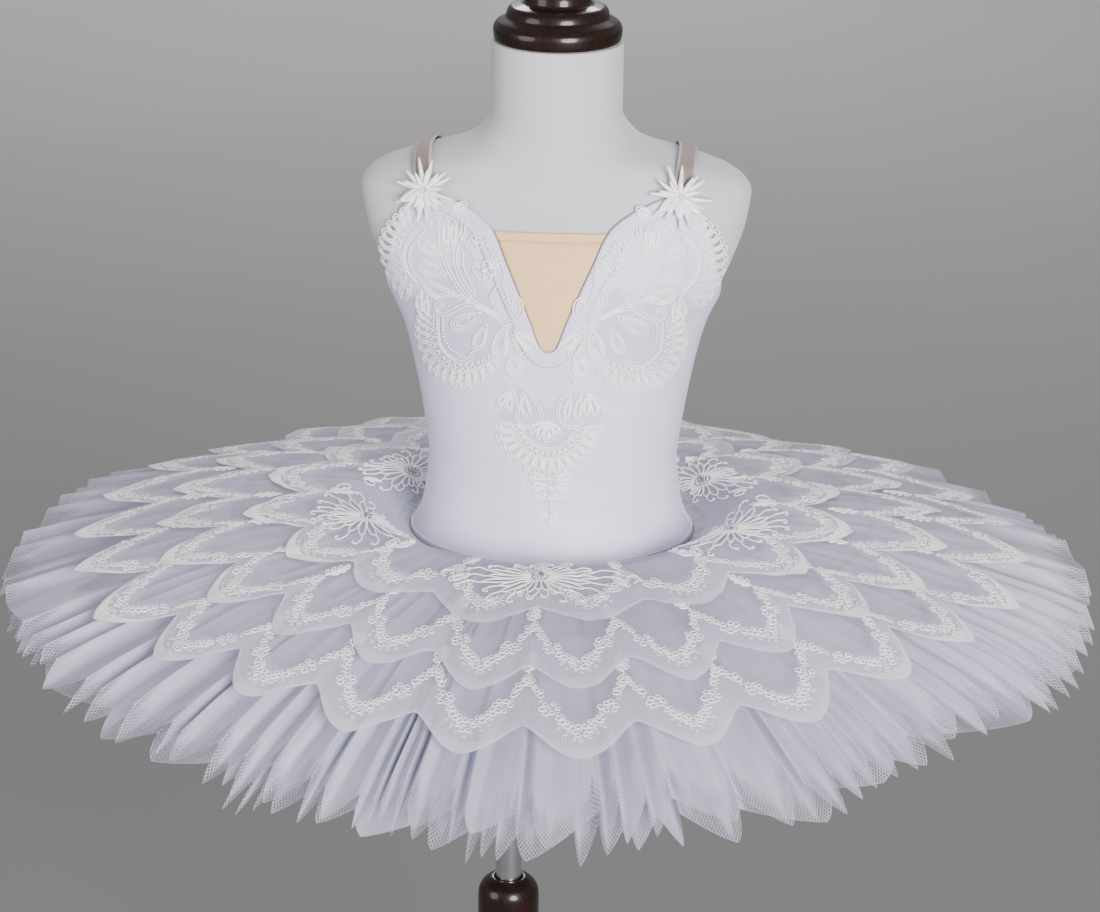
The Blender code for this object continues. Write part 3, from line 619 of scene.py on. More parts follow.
@dataclass
class Torso:
    """The form's surface: sections of half width, front depth and back depth by height."""

    sections: Rows = (
        (-0.130, 0.0830, 0.0600, 0.0660), (-0.118, 0.0955, 0.0720, 0.0780),
        (-0.100, 0.1025, 0.0790, 0.0860), (-0.060, 0.1065, 0.0830, 0.0915),
        (-0.020, 0.1055, 0.0845, 0.0890), (0.000, 0.1024, 0.0830, 0.0840),
        (0.020, 0.0935, 0.0780, 0.0770), (0.040, 0.0900, 0.0745, 0.0720),
        (0.060, 0.0885, 0.0725, 0.0690), (0.085, 0.0912, 0.0735, 0.0690),
        (0.110, 0.0950, 0.0755, 0.0710), (0.135, 0.0998, 0.0775, 0.0740),
        (0.160, 0.1060, 0.0800, 0.0770), (0.190, 0.1180, 0.0800, 0.0780),
        (0.215, 0.1285, 0.0760, 0.0760), (0.240, 0.1365, 0.0680, 0.0700),
        (0.262, 0.1395, 0.0580, 0.0600), (0.272, 0.1340, 0.0545, 0.0565),
        (0.279, 0.1240, 0.0520, 0.0535), (0.285, 0.1080, 0.0505, 0.0515),
        (0.289, 0.0925, 0.0495, 0.0505), (0.2925, 0.0775, 0.0490, 0.0495),
        (0.300, 0.0590, 0.0480, 0.0485), (0.318, 0.0466, 0.0466, 0.0466),
        (0.367, 0.0466, 0.0466, 0.0466),
    )

    def __post_init__(self) -> None:
        """Works out the curves through the sections."""
        table = np.array(self.sections)
        self.half_width, self.front, self.back = (Curve(table[:, 0], table[:, i]) for i in (1, 2, 3))

    def section(self, degrees: Array, height: Array) -> Array:
        """Points on the form, degrees round from the front towards +X."""
        turn = np.radians(degrees)
        depth = np.where(np.cos(turn) > 0, self.front.at(height), self.back.at(height))
        wide = self.half_width.at(height)
        return together(wide * np.sin(turn), -depth * np.cos(turn), height + 0 * turn)

    def normal(self, degrees: Array, height: Array) -> Array:
        """Which way is straight out of the form at each point."""
        rise = 0.5 * MM
        across = self.section(degrees + 0.5, height) - self.section(degrees - 0.5, height)
        up = self.section(degrees, height + rise) - self.section(degrees, height - rise)
        return unit(np.cross(across, up))

    def point(self, degrees: Array, height: Array, out: Array | float) -> Array:
        """Points out metres off the form."""
        degrees, height = np.broadcast_arrays(np.asarray(degrees, float), np.asarray(height, float))
        out = np.broadcast_to(np.asarray(out, float), degrees.shape)
        return self.section(degrees, height) + self.normal(degrees, height) * out[..., None]

    def holds(self, x: Array, y: Array, height: Array) -> Array:
        """Which points lie inside the form."""
        depth = np.where(y < 0, self.front.at(height), self.back.at(height))
        return (x / self.half_width.at(height)) ** 2 + (y / depth) ** 2 < 1


TORSO = Torso()


def grid_faces(grid: Array, ring: bool = False) -> Array:
    """Each face's four corners in a grid of points, as places in it read row by row."""
    rows, columns = grid.shape[:2]
    place = np.arange(rows * columns).reshape(rows, columns)
    if ring:
        place = np.concatenate([place, place[:, :1]], 1)
    return np.stack([place[:-1, :-1], place[:-1, 1:], place[1:, 1:], place[1:, :-1]], -1).reshape(-1, 4)


def measured(points: Array) -> Array:
    """Cloth coordinates of a grid: metres along its rows and up its columns, averaged."""
    along = np.linalg.norm(np.diff(points, axis=1), axis=-1).mean(0)
    up = np.linalg.norm(np.diff(points, axis=0), axis=-1).mean(1)
    u = np.concatenate([[0], np.cumsum(along)])
    v = np.concatenate([[0], np.cumsum(up)])
    return together(u[None, :], v[:, None])


def off_route(grid: Array) -> Array:
    """Which way is off the form, for cloth whose rows run from front to back."""
    along = np.gradient(grid, axis=1)
    return unit(together(0 * along[..., 0], -along[..., 2], along[..., 1]))


def link(name: str, data: bpy.types.ID) -> Object:
    """An object in the scene that shows a mesh, a light or a camera."""
    made = bpy.data.objects.new(name, data)
    bpy.context.scene.collection.objects.link(made)
    return made


def mesh_of(
    name: str, points: Array, faces: Sequence[Sequence[int]] | Array,
    cloth: Array | None = None, place: Array = TORSO_PLACE,
) -> Mesh:
    """A smooth-shaded mesh.

    Args:
        name: the mesh's name.
        points: its corners, before they are carried to their place.
        faces: the corners of each face.
        cloth: each corner's cloth coordinates, for the UV map.
        place: what is added to every corner.

    Returns:
        The mesh.
    """
    mesh = bpy.data.meshes.new(name)
    mesh.from_pydata((points.reshape(-1, 3) + place).tolist(), [], [list(f) for f in faces])
    if cloth is not None:
        layer = mesh.uv_layers.new(name="Cloth")
        corners = np.empty(len(mesh.loops), np.int32)
        mesh.loops.foreach_get("vertex_index", corners)
        spread_cloth(layer, cloth, corners)
    mesh.shade_smooth()
    return mesh


def spread_cloth(layer: bpy.types.MeshUVLoopLayer, cloth: Array, corners: Array) -> None:
    """Writes cloth coordinates into a UV map: corners is each face corner's place among them."""
    layer.data.foreach_set("uv", cloth.reshape(-1, 2)[corners].astype(np.float32).ravel())


def cloth_mesh(name: str, grid: Array, cloth: Array, ring: bool = False) -> Mesh:
    """A mesh of a grid of points, with the cloth's own coordinates in metres at each."""
    return mesh_of(name, grid, grid_faces(grid, ring), cloth)


def merged(name: str, meshes: Sequence[Mesh], outward: bool = False) -> Mesh:
    """One mesh of several, with corners that meet made one.

    Args:
        name: the new mesh's name.
        meshes: the meshes, which are used up.
        outward: whether to turn every face of the closed result outwards.

    Returns:
        The mesh.
    """
    work = bmesh.new()
    for mesh in meshes:
        work.from_mesh(mesh)
        bpy.data.meshes.remove(mesh)
    bmesh.ops.remove_doubles(work, verts=work.verts, dist=0.02 * MM)
    if outward:
        bmesh.ops.recalc_face_normals(work, faces=work.faces)
    made = bpy.data.meshes.new(name)
    work.to_mesh(made)
    work.free()
    made.shade_smooth()
    return made


def settle(
    piece: Object, finish: Finish, nodes: Sequence[str] = (), body: Body = Body.FORM,
) -> Object:
    """Gives a finished piece its material and its body.

    Args:
        piece: the piece.
        finish: what it is made of.
        nodes: the CAD nodes that it replaces.
        body: the body it rides on.

    Returns:
        The piece.
    """
    if not piece.data.materials:
        piece.data.materials.append(finish.material())
    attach(piece, body.value)
    if nodes:
        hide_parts(*nodes)
    LOG.info("%s: %d faces on %s", piece.name, len(piece.data.polygons), body.value)
    return piece


def walled(piece: Object, wall: float) -> Object:
    """Gives an open sheet its thickness, on its inner side."""
    solid = piece.modifiers.new("Wall", "SOLIDIFY")
    solid.thickness = wall
    solid.offset = -1
    solid.use_even_offset = False
    return piece


def cloth_piece(
    name: str, grid: Array, cloth: Array, finish: Finish, nodes: Sequence[str] = (), wall: float = 0.0,
    ring: bool = False,
) -> Object:
    """Makes and settles a piece of cloth.

    Args:
        name: its name.
        grid: its points, row by row.
        cloth: the cloth's own coordinates at each.
        finish: what it is made of.
        nodes: the CAD nodes that it replaces.
        wall: how thick it is, or 0 for an open sheet.
        ring: whether each row closes on itself.

    Returns:
        The piece.
    """
    piece = link(name, cloth_mesh(name, grid, cloth, ring))
    return settle(walled(piece, wall) if wall else piece, finish, nodes)


def rounded(profile: Rows, radius: float, steps: int = 4) -> Array:
    """A turned profile with each inner corner rounded by about radius."""
    line = np.array(profile, float)
    made = [line[0]]
    for before, corner, after in zip(line, line[1:], line[2:]):
        into, away = corner - before, after - corner
        reach = min(radius, 0.45 * np.linalg.norm(into), 0.45 * np.linalg.norm(away))
        start, end = corner - unit(into) * reach, corner + unit(away) * reach
        for t in np.linspace(0, 1, steps):
            made.append((1 - t) ** 2 * start + 2 * t * (1 - t) * corner + t * t * end)
    return np.array([*made, line[-1]])


def turned(
    name: str, profile: Rows, corner: float, sides: int, finish: Finish, node: str,
    body: Body = Body.FORM, place: Sequence[float] = (0, 0, 0),
) -> Object:
    """Makes and settles a closed turned piece.

    Args:
        name: its name.
        profile: (radius, height) from the axis at the top down its outer side and back to the axis.
        corner: how round its corners are.
        sides: how many faces go round it.
        finish: what it is made of.
        node: the CAD node that it replaces.
        body: the body it rides on.
        place: where height 0 of its axis is.

    Returns:
        The piece.
    """
    line = rounded(profile, corner)
    turn = np.linspace(0, math.tau, sides, endpoint=False)
    ring = line[1:-1, None]
    side = together(ring[..., 0] * np.sin(turn), -ring[..., 0] * np.cos(turn), ring[..., 1])
    points = np.concatenate([side.reshape(-1, 3), [(0, 0, line[0, 1]), (0, 0, line[-1, 1])]])
    faces = grid_faces(side, True).tolist()
    last = len(points) - 1
    for i in range(sides):
        j = (i + 1) % sides
        faces.append((last - 1, j, i))
        faces.append((last, last - 1 - sides + i, last - 1 - sides + j))
    made = merged(name, [mesh_of(name, points, faces, None, np.array(place))], outward=True)
    made.set_sharp_from_angle(angle=math.radians(50))
    return settle(link(name, made), finish, [node], body)


# Geometry trees for what repeats


@dataclass
class NodeTool:
    """A Geometry Nodes tree with named inputs, built once and run on a mesh of guides."""

    name: str
    numbers: dict[str, float] = field(default_factory=dict)

    def __post_init__(self) -> None:
        """Builds the tree: its sockets, what it does, then real instances and a material."""
        self.tree = bpy.data.node_groups.new(self.name, "GeometryNodeTree")
        faces = self.tree.interface
        faces.new_socket("Guides", in_out="INPUT", socket_type="NodeSocketGeometry")
        for name in self.numbers:
            faces.new_socket(name, in_out="INPUT", socket_type="NodeSocketFloat")
        faces.new_socket("Material", in_out="INPUT", socket_type="NodeSocketMaterial")
        faces.new_socket("Made", in_out="OUTPUT", socket_type="NodeSocketGeometry")
        graph = Graph(self.tree)
        given = {socket.name: Wire(graph, socket) for socket in graph.node("NodeGroupInput").outputs}
        result = self.build(graph, given)
        real = graph.wire("GeometryNodeRealizeInstances", {0: result})
        smooth = graph.wire("GeometryNodeSetShadeSmooth", {0: real})
        dressed = graph.wire("GeometryNodeSetMaterial", {0: smooth, "Material": given["Material"]})
        graph.node("NodeGroupOutput", {0: dressed})

    def build(self, graph: Graph, given: dict[str, Wire]) -> Wire:
        """What the tree makes of its guides."""
        raise NotImplementedError

    def named(self, graph: Graph, name: str, kind: str = "FLOAT") -> Wire:
        """An attribute of the guides."""
        node = graph.node("GeometryNodeInputNamedAttribute", {"Name": name}, data_type=kind)
        socket = next(s for s in node.outputs if s.enabled and s.name == "Attribute")
        return Wire(graph, socket)

    def facing(self, graph: Graph, guides: Wire) -> Wire:
        """The guide lines as curves that face off the cloth."""
        lines = graph.wire("GeometryNodeMeshToCurve", {0: guides})
        away = self.named(graph, "off_cloth", "FLOAT_VECTOR")
        return graph.wire("GeometryNodeSetCurveNormal", {"Curve": lines, "Normal": away}, mode="FREE")

    def run(self, guides: Mesh, finish: Finish, nodes: Sequence[str] = (), **numbers: float) -> Object:
        """Runs the tree on guides and settles what it makes.

        Args:
            guides: the mesh that the tree reads, named as the new piece will be.
            finish: what the piece is made of.
            nodes: the CAD nodes that it replaces.
            numbers: the tree's inputs that differ from their usual values.

        Returns:
            The new piece, a plain mesh.
        """
        name = guides.name
        carrier = link(name + "_guides", guides)
        step = carrier.modifiers.new("Make", "NODES")
        step.node_group = self.tree
        values = {**self.numbers, **{key.replace("_", " "): value for key, value in numbers.items()}}
        for socket in self.tree.interface.items_tree:
            if socket.item_type == "SOCKET" and socket.name in values:
                step[socket.identifier] = float(values[socket.name])
            elif socket.item_type == "SOCKET" and socket.name == "Material":
                step[socket.identifier] = finish.material()
        bpy.context.view_layer.update()
        graph = bpy.context.evaluated_depsgraph_get()
        made = bpy.data.meshes.new_from_object(carrier.evaluated_get(graph))
        carrier.modifiers.clear()
        bpy.data.objects.remove(carrier)
        made.name = name
        return settle(link(name, made), finish, nodes)


class Cording(NodeTool):
    """Lays a flattened cord along each guide line, square to the cloth under it."""

    def build(self, graph: Graph, given: dict[str, Wire]) -> Wire:
        """Guide lines become curves that face off the cloth, and a flat round goes along them."""
        facing, weight = self.facing(graph, given["Guides"]), self.named(graph, "weight")
        sized = graph.wire("GeometryNodeSetCurveRadius", {0: facing, "Radius": weight})
        round_ = graph.wire("GeometryNodeCurvePrimitiveCircle", {"Resolution": 6, "Radius": 0.5})
        size = graph.wire("ShaderNodeCombineXYZ", {0: given["Height"], 1: given["Width"], 2: 1.0})
        flat = graph.wire("GeometryNodeTransform", {0: round_, "Scale": size})
        return graph.wire(
            "GeometryNodeCurveToMesh", {"Curve": sized, "Profile Curve": flat, "Fill Caps": True},
        )


class Beading(NodeTool):
    """Sews a small round bead on each guide point."""

    def build(self, graph: Graph, given: dict[str, Wire]) -> Wire:
        """A bead of the point's own weight on every point."""
        bead = graph.wire("GeometryNodeMeshIcoSphere", {"Radius": given["Radius"], "Subdivisions": 2})
        sockets = {0: given["Guides"], "Instance": bead, "Scale": self.named(graph, "weight")}
        return graph.wire("GeometryNodeInstanceOnPoints", sockets)


class RingFlowers(NodeTool):
    """Works a little five-lobed ring of thread on each guide point, flat on the cloth."""

    def build(self, graph: Graph, given: dict[str, Wire]) -> Wire:
        """One ring of few faces, laid square to the cloth and spun by chance."""
        circle = "GeometryNodeCurvePrimitiveCircle"
        ring = graph.wire(circle, {"Resolution": 10, "Radius": given["Radius"]})
        odd = graph.wire("GeometryNodeInputIndex") % 2
        pull = 1 - odd * given["Waist"]
        where = graph.vector("SCALE", graph.wire("GeometryNodeInputPosition"), pull)
        lobed = graph.wire("GeometryNodeSetPosition", {0: ring, "Position": where})
        thread = graph.wire(circle, {"Resolution": 3, "Radius": given["Thread"]})
        flower = graph.wire("GeometryNodeCurveToMesh", {"Curve": lobed, "Profile Curve": thread})
        chance = graph.wire("FunctionNodeRandomValue", {"Min": 0.0, "Max": math.tau, "Seed": 7}, 1)
        away = self.named(graph, "off_cloth", "FLOAT_VECTOR")
        flat = graph.wire("FunctionNodeAlignRotationToVector", {"Vector": away}, axis="Z")
        turn = graph.wire("FunctionNodeAxisAngleToRotation", {"Axis": (0, 0, 1), "Angle": chance})
        spun = graph.wire("FunctionNodeRotateRotation", {0: flat, 1: turn}, rotation_space="LOCAL")
        sizes = self.named(graph, "weight")
        sockets = {0: given["Guides"], "Instance": flower, "Rotation": spun, "Scale": sizes}
        return graph.wire("GeometryNodeInstanceOnPoints", sockets)


class Stitching(NodeTool):
    """Sews short stitches end to end along each guide line."""

    def build(self, graph: Graph, given: dict[str, Wire]) -> Wire:
        """One rounded stitch at every step along the line."""
        facing, pitch, width = self.facing(graph, given["Guides"]), given["Pitch"], given["Width"]
        steps = graph.node("GeometryNodeCurveToPoints", {0: facing, "Length": pitch}, mode="LENGTH")
        stitch = graph.wire("GeometryNodeMeshIcoSphere", {"Radius": 0.5, "Subdivisions": 1})
        size = graph.wire("ShaderNodeCombineXYZ", {0: width * 0.7, 1: width, 2: pitch * 0.78})
        shaped = graph.wire("GeometryNodeTransform", {0: stitch, "Scale": size})
        points, turns = steps.outputs["Points"], steps.outputs["Rotation"]
        return graph.wire("GeometryNodeInstanceOnPoints", {0: points, "Instance": shaped, "Rotation": turns})


class Pleating(NodeTool):
    """Folds a smooth layer of net into uneven knife pleats that deepen towards its hem.

    The guides are the unfolded layer. Across a pleat "part" runs 0 to 1 from ridge to ridge,
    "high" is how far the ridges stand up, "low" how far its hollow hangs, "wide" how wide
    it is, as an angle, and "lean" how far its hollow leans over, as a share of that. "give" is
    how much of the full depth the net has at each row, and "hem" how near the row is to the hem,
    less at the sides and the back, where the hem's teeth are shallow.
    """

    def build(self, graph: Graph, given: dict[str, Wire]) -> Wire:
        """Moves the net down and sideways in each hollow, and in at each ridge of its hem."""
        names = ("part", "high", "low", "wide", "lean", "give", "hem")
        part, high, low, wide, lean, give, hem = (self.named(graph, name) for name in names)
        depth, swing = given["Depth"], given["Swing"]
        hollow = (part * math.pi).sin().most(0.0) * 0.45 + (1 - abs(part * 2 - 1)) * 0.55
        fall = high - (high + low) * hollow
        centre = tuple(TORSO_PLACE)
        at, swung = graph.wire("GeometryNodeInputPosition"), wide * hollow * lean * give
        leaning = graph.wire(
            "ShaderNodeVectorRotate", {"Vector": at, "Center": centre, "Angle": swung}, rotation_type="Z_AXIS"
        )
        rise = graph.wire("ShaderNodeCombineXYZ", {2: fall * depth * give})
        outwards = graph.vector("MULTIPLY", graph.vector("SUBTRACT", leaning, centre), (1.0, 1.0, 0.0))
        pull = (hollow * low - 1) * swing * hem**2.0
        moved = graph.vector("ADD", leaning, graph.vector("ADD", rise, graph.vector("SCALE", outwards, pull)))
        return graph.wire("GeometryNodeSetPosition", {0: given["Guides"], "Position": moved})


CORDING = Cording("lay_cord", {"Width": 1.5 * MM, "Height": 0.9 * MM})
BEADING = Beading("sew_beads", {"Radius": 0.9 * MM})
RING_FLOWERS = RingFlowers("work_ring_flowers", {"Radius": 2.2 * MM, "Waist": 0.16, "Thread": 0.55 * MM})
STITCHING = Stitching("sew_stitches", {"Pitch": 2.2 * MM, "Width": 0.45 * MM})
PLEATING = Pleating("pleat_net", {"Depth": 9 * MM, "Swing": 0.045})


# Corded lace, drawn flat and then laid on the cloth


def smoothed(points: Sequence[Point] | Array) -> Array:
    """The points joined by a smooth curve, with a new point about every millimetre, in millimetres."""
    knots = np.array(points, float)
    if len(knots) < 3:
        return knots
    padded = np.vstack([2 * knots[0] - knots[1], knots, 2 * knots[-1] - knots[-2]])
    made = []
    for p, q, r, s in zip(padded, padded[1:], padded[2:], padded[3:]):
        t = np.linspace(0, 1, max(2, int(np.linalg.norm(r - q) / 1.1)), endpoint=False)[:, None]
        made.append(
            0.5 * (2 * q + (r - p) * t + (2 * p - 5 * q + 4 * r - s) * t**2 + (3 * q - p - 3 * r + s) * t**3),
        )
    return np.vstack([*made, knots[-1:]])


def spaced(points: Array, count: int = 0, pitch: float = 1.0) -> Array:
    """Evenly spaced points along a line: count of them, or as many as lie about pitch apart."""
    run = run_along(points)
    where = np.linspace(0, run[-1], count or max(2, round(run[-1] / pitch) + 1))
    return together(*(np.interp(where, run, column) for column in points.T))


@dataclass
class Motif:
    """Lines and beads drawn flat, in millimetres."""

    lines: list[tuple[Array, float, bool]] = field(default_factory=list)
    beads: list[Triple] = field(default_factory=list)

    def line(self, points: Sequence[Point] | Array, weight: float = 1.0) -> None:
        """Draws a cord through points, curved between them."""
        self.lines.append((smoothed(points), weight, False))

    def rib(self, points: Sequence[Point], apart: float, weight: float = 1.0) -> None:
        """Draws two cords side by side, apart between their middles."""
        line = smoothed(points)
        along = unit(np.gradient(line, axis=0))
        aside = together(-along[:, 1], along[:, 0])
        for hand in (-0.5, 0.5):
            self.lines.append((line + aside * apart * hand, weight, False))

    def string(self, points: Sequence[Point], pitch: float, weight: float = 1.0) -> None:
        """Sews beads along a curve, about pitch apart."""
        self.beads += [(x, y, weight) for x, y in spaced(smoothed(points), pitch=pitch)]

    def petal(
        self, foot: Point | Array, tip: Point | Array, width: float, weight: float = 1.0,
        inner: tuple[float, ...] = (),
    ) -> None:
        """Draws a teardrop loop, narrow at its foot and round at its tip.

        Args:
            foot: where it starts.
            tip: how far it reaches.
            width: how wide it is.
            weight: how thick its cord is.
            inner: the sizes of the loops inside it, as shares.
        """
        foot, tip = np.array(foot, float), np.array(tip, float)
        length = np.linalg.norm(tip - foot)
        along = (tip - foot) / length
        aside = np.array((-along[1], along[0]))
        turn = np.linspace(0, math.tau, max(8, int(length / 0.8)), endpoint=False)
        reach = (1 - np.cos(turn)) / 2
        bulge = 0.65 * width * np.sin(turn) * np.sqrt(reach)
        for share in (1.0, *inner):
            start = foot + along * length * (1 - share) * 0.62
            loop = start + share * (np.outer(reach * length, along) + np.outer(bulge, aside))
            self.lines.append((loop, weight, True))

    def comb(
        self, feet: Sequence[Point], tips: Sequence[Point], count: int, weight: float = 1.0,
        fill: float = 0.8, inner: tuple[float, ...] = (),
    ) -> None:
        """Draws petals side by side from one curve to another.

        Args:
            feet: the curve that they start from.
            tips: the curve that they reach.
            count: how many petals there are.
            weight: how thick the cord is.
            fill: how much of its room a petal fills.
            inner: the sizes of the loops inside each petal, as shares.
        """
        starts, ends = spaced(smoothed(feet), count), spaced(smoothed(tips), count)
        room = np.linalg.norm(np.gradient(ends, axis=0), axis=1)
        for start, end, wide in zip(starts, ends, room):
            self.petal(start, end, wide * fill, weight, inner)

    def blossom(
        self, centre: Point, radius: float, petals: int, weight: float = 1.0, bead: float = 1.2,
    ) -> None:
        """Draws a round of short petals about a bead."""
        for turn in np.linspace(0, math.tau, petals, endpoint=False):
            way, room = way_of(turn), math.tau / petals * radius * 0.7
            self.petal(centre + way * 0.9, centre + way * radius, room, weight)
        self.beads.append((*centre, bead))

    def curl(self, centre: Point, radius: float, start: float, turns: float, weight: float = 1.0) -> None:
        """Draws a scroll that winds in to centre."""
        t = np.linspace(0, 1, max(8, int(26 * abs(turns))))
        angle = math.radians(start) + math.tau * turns * t
        ways = together(np.cos(angle), np.sin(angle))
        self.lines.append((np.array(centre) + ways * radius * (1 - 0.78 * t[:, None]), weight, False))

    def guides(self, name: str, place: Place, out: float) -> Mesh:
        """The lines laid on the cloth, for Cording.

        Args:
            name: the mesh's name.
            place: what lays flat points on the cloth.
            out: how far off the cloth the cord's middle lies, for a cord of weight 1.

        Returns:
            The mesh, with each point's weight and the way off the cloth.
        """
        flat = np.vstack([line for line, _, _ in self.lines]) * MM
        weight = np.concatenate([np.full(len(line), w) for line, w, _ in self.lines])
        points, normals = place(flat[:, 0], flat[:, 1])
        points = points + normals * (weight * out)[:, None]
        edges, start = [], 0
        for line, _, closed in self.lines:
            edges += [(start + i, start + j) for i, j in chain(line, closed)]
            start += len(line)
        return guide_mesh(name, points, normals, weight, edges)

    def bead_guides(self, name: str, place: Place, out: float) -> Mesh:
        """The beads laid on the cloth, for Beading."""
        table = np.array(self.beads)
        points, normals = place(table[:, 0] * MM, table[:, 1] * MM)
        return guide_mesh(name, points + normals * (table[:, 2] * out)[:, None], normals, table[:, 2], [])


def guide_mesh(
    name: str, points: Array, normals: Array, weight: Array | float,
    edges: Sequence[tuple[int, int]],
) -> Mesh:
    """Points and lines for a NodeTool, in their place, with the attributes that it reads."""
    mesh = bpy.data.meshes.new(name)
    mesh.from_pydata((points + TORSO_PLACE).tolist(), list(edges), [])
    mesh.attributes.new("off_cloth", "FLOAT_VECTOR", "POINT").data.foreach_set(
        "vector", np.asarray(normals, np.float32).ravel()
    )
    tag(mesh, "weight", weight, (len(points),))
    return mesh


def tag(mesh: Mesh, key: str, values: Array | float, shape: tuple[int, ...]) -> None:
    """Gives each point of a mesh a number, spread to the shape of its points."""
    full = np.ascontiguousarray(np.broadcast_to(values, shape), np.float32)
    mesh.attributes.new(key, "FLOAT", "POINT").data.foreach_set("value", full.ravel())


def seam_line(
    name: str, degrees: Array, height: Array | float, out: float, closed: bool = False,
) -> Mesh:
    """Guides for a NodeTool along one line on the form, out metres off it."""
    degrees, height = np.broadcast_arrays(degrees, height)
    points = TORSO.point(degrees, height, out)
    return guide_mesh(name, points, TORSO.normal(degrees, height), 1.0, chain(points, closed))


def chain(points: Array, closed: bool = False) -> list[tuple[int, int]]:
    """The edges along a run of points."""
    edges = [(i, i + 1) for i in range(len(points) - 1)]
    return edges + [(len(points) - 1, 0)] if closed else edges


# The studio


@dataclass
class Studio:
    """The floor, the soft lights and the camera."""

    aim: Triple = (0.030, 0.0, 0.620)
    back: float = 2.2406
    above: float = 0.8601
    turn: float = 3.0
    pitch: float = 19.74
    roll: float = 0.7
    lens: float = 105.87
    shift_x: float = -2.6 / 1100

    def build(self) -> None:
        """Makes the camera, the floor and the lights."""
        self.make_camera()
        self.make_floor()
        self.make_lights()

    def make_camera(self) -> None:
        """The camera, a little above the skirt and looking down at it."""
        data = bpy.data.cameras.new("camera")
        data.sensor_fit = "HORIZONTAL"
        data.sensor_width = 36.0
        data.lens = self.lens
        data.shift_x = self.shift_x
        data.clip_end = 60
        camera = link("camera", data)
        way = math.radians(self.turn)
        camera.location = (
            self.aim[0] + self.back * math.sin(way), self.aim[1] - self.back * math.cos(way),
            self.aim[2] + self.above,
        )
        tilt = Matrix.Rotation(way, 3, "Z") @ Matrix.Rotation(math.radians(90 - self.pitch), 3, "X")
        camera.rotation_euler = (tilt @ Matrix.Rotation(math.radians(self.roll), 3, "Z")).to_euler()
        bpy.context.scene.camera = camera

    def make_floor(self) -> None:
        """A pale floor that runs to the horizon."""
        reach = 14.0
        points = np.array([(-reach, -reach, 0), (reach, -reach, 0), (reach, reach, 0), (-reach, reach, 0)])
        floor = link("studio_floor", mesh_of("studio_floor", points, [(0, 1, 2, 3)], None, np.zeros(3)))
        floor.data.materials.append(PAPER.material())

    def make_lights(self) -> None:
        """A broad key from the right, a fill from the left, one behind, and a soft room."""
        for name, place, size, power, colour in (
            ("key_light", (1.5, -3.4, 1.45), 1.8, 300, (1.0, 0.985, 0.99)),
            ("fill_light", (-3.0, -2.2, 1.4), 2.2, 76, (0.97, 0.975, 1.0)),
            ("back_light", (0.6, 3.0, 3.4), 2.2, 12, (0.98, 0.98, 1.0)),
        ):
            light = self.add_light(name, place, size, power, colour)
            way = np.array(self.aim) - np.array(place)
            flat = math.hypot(way[0], way[1])
            light.rotation_euler = (math.atan2(flat, -way[2]), 0, math.atan2(way[1], way[0]) - math.pi / 2)
        self.add_light("backdrop_light", (-0.5, 5.6, 3.6), 3.0, 420, (1.0, 1.0, 1.0))
        world = bpy.data.worlds.new("studio_room")
        world.use_nodes = True
        room = world.node_tree.nodes["Background"]
        room.inputs["Color"].default_value = (0.80, 0.80, 0.83, 1)
        room.inputs["Strength"].default_value = 0.43
        bpy.context.scene.world = world

    def add_light(self, name: str, place: Triple, size: float, power: float, colour: Colour) -> Object:
        """A round soft light at place, shining down."""
        data = bpy.data.lights.new(name, "AREA")
        data.shape = "DISK"
        data.size, data.energy, data.color = size, power, colour
        light = link(name, data)
        light.location = place
        return light


# The stand


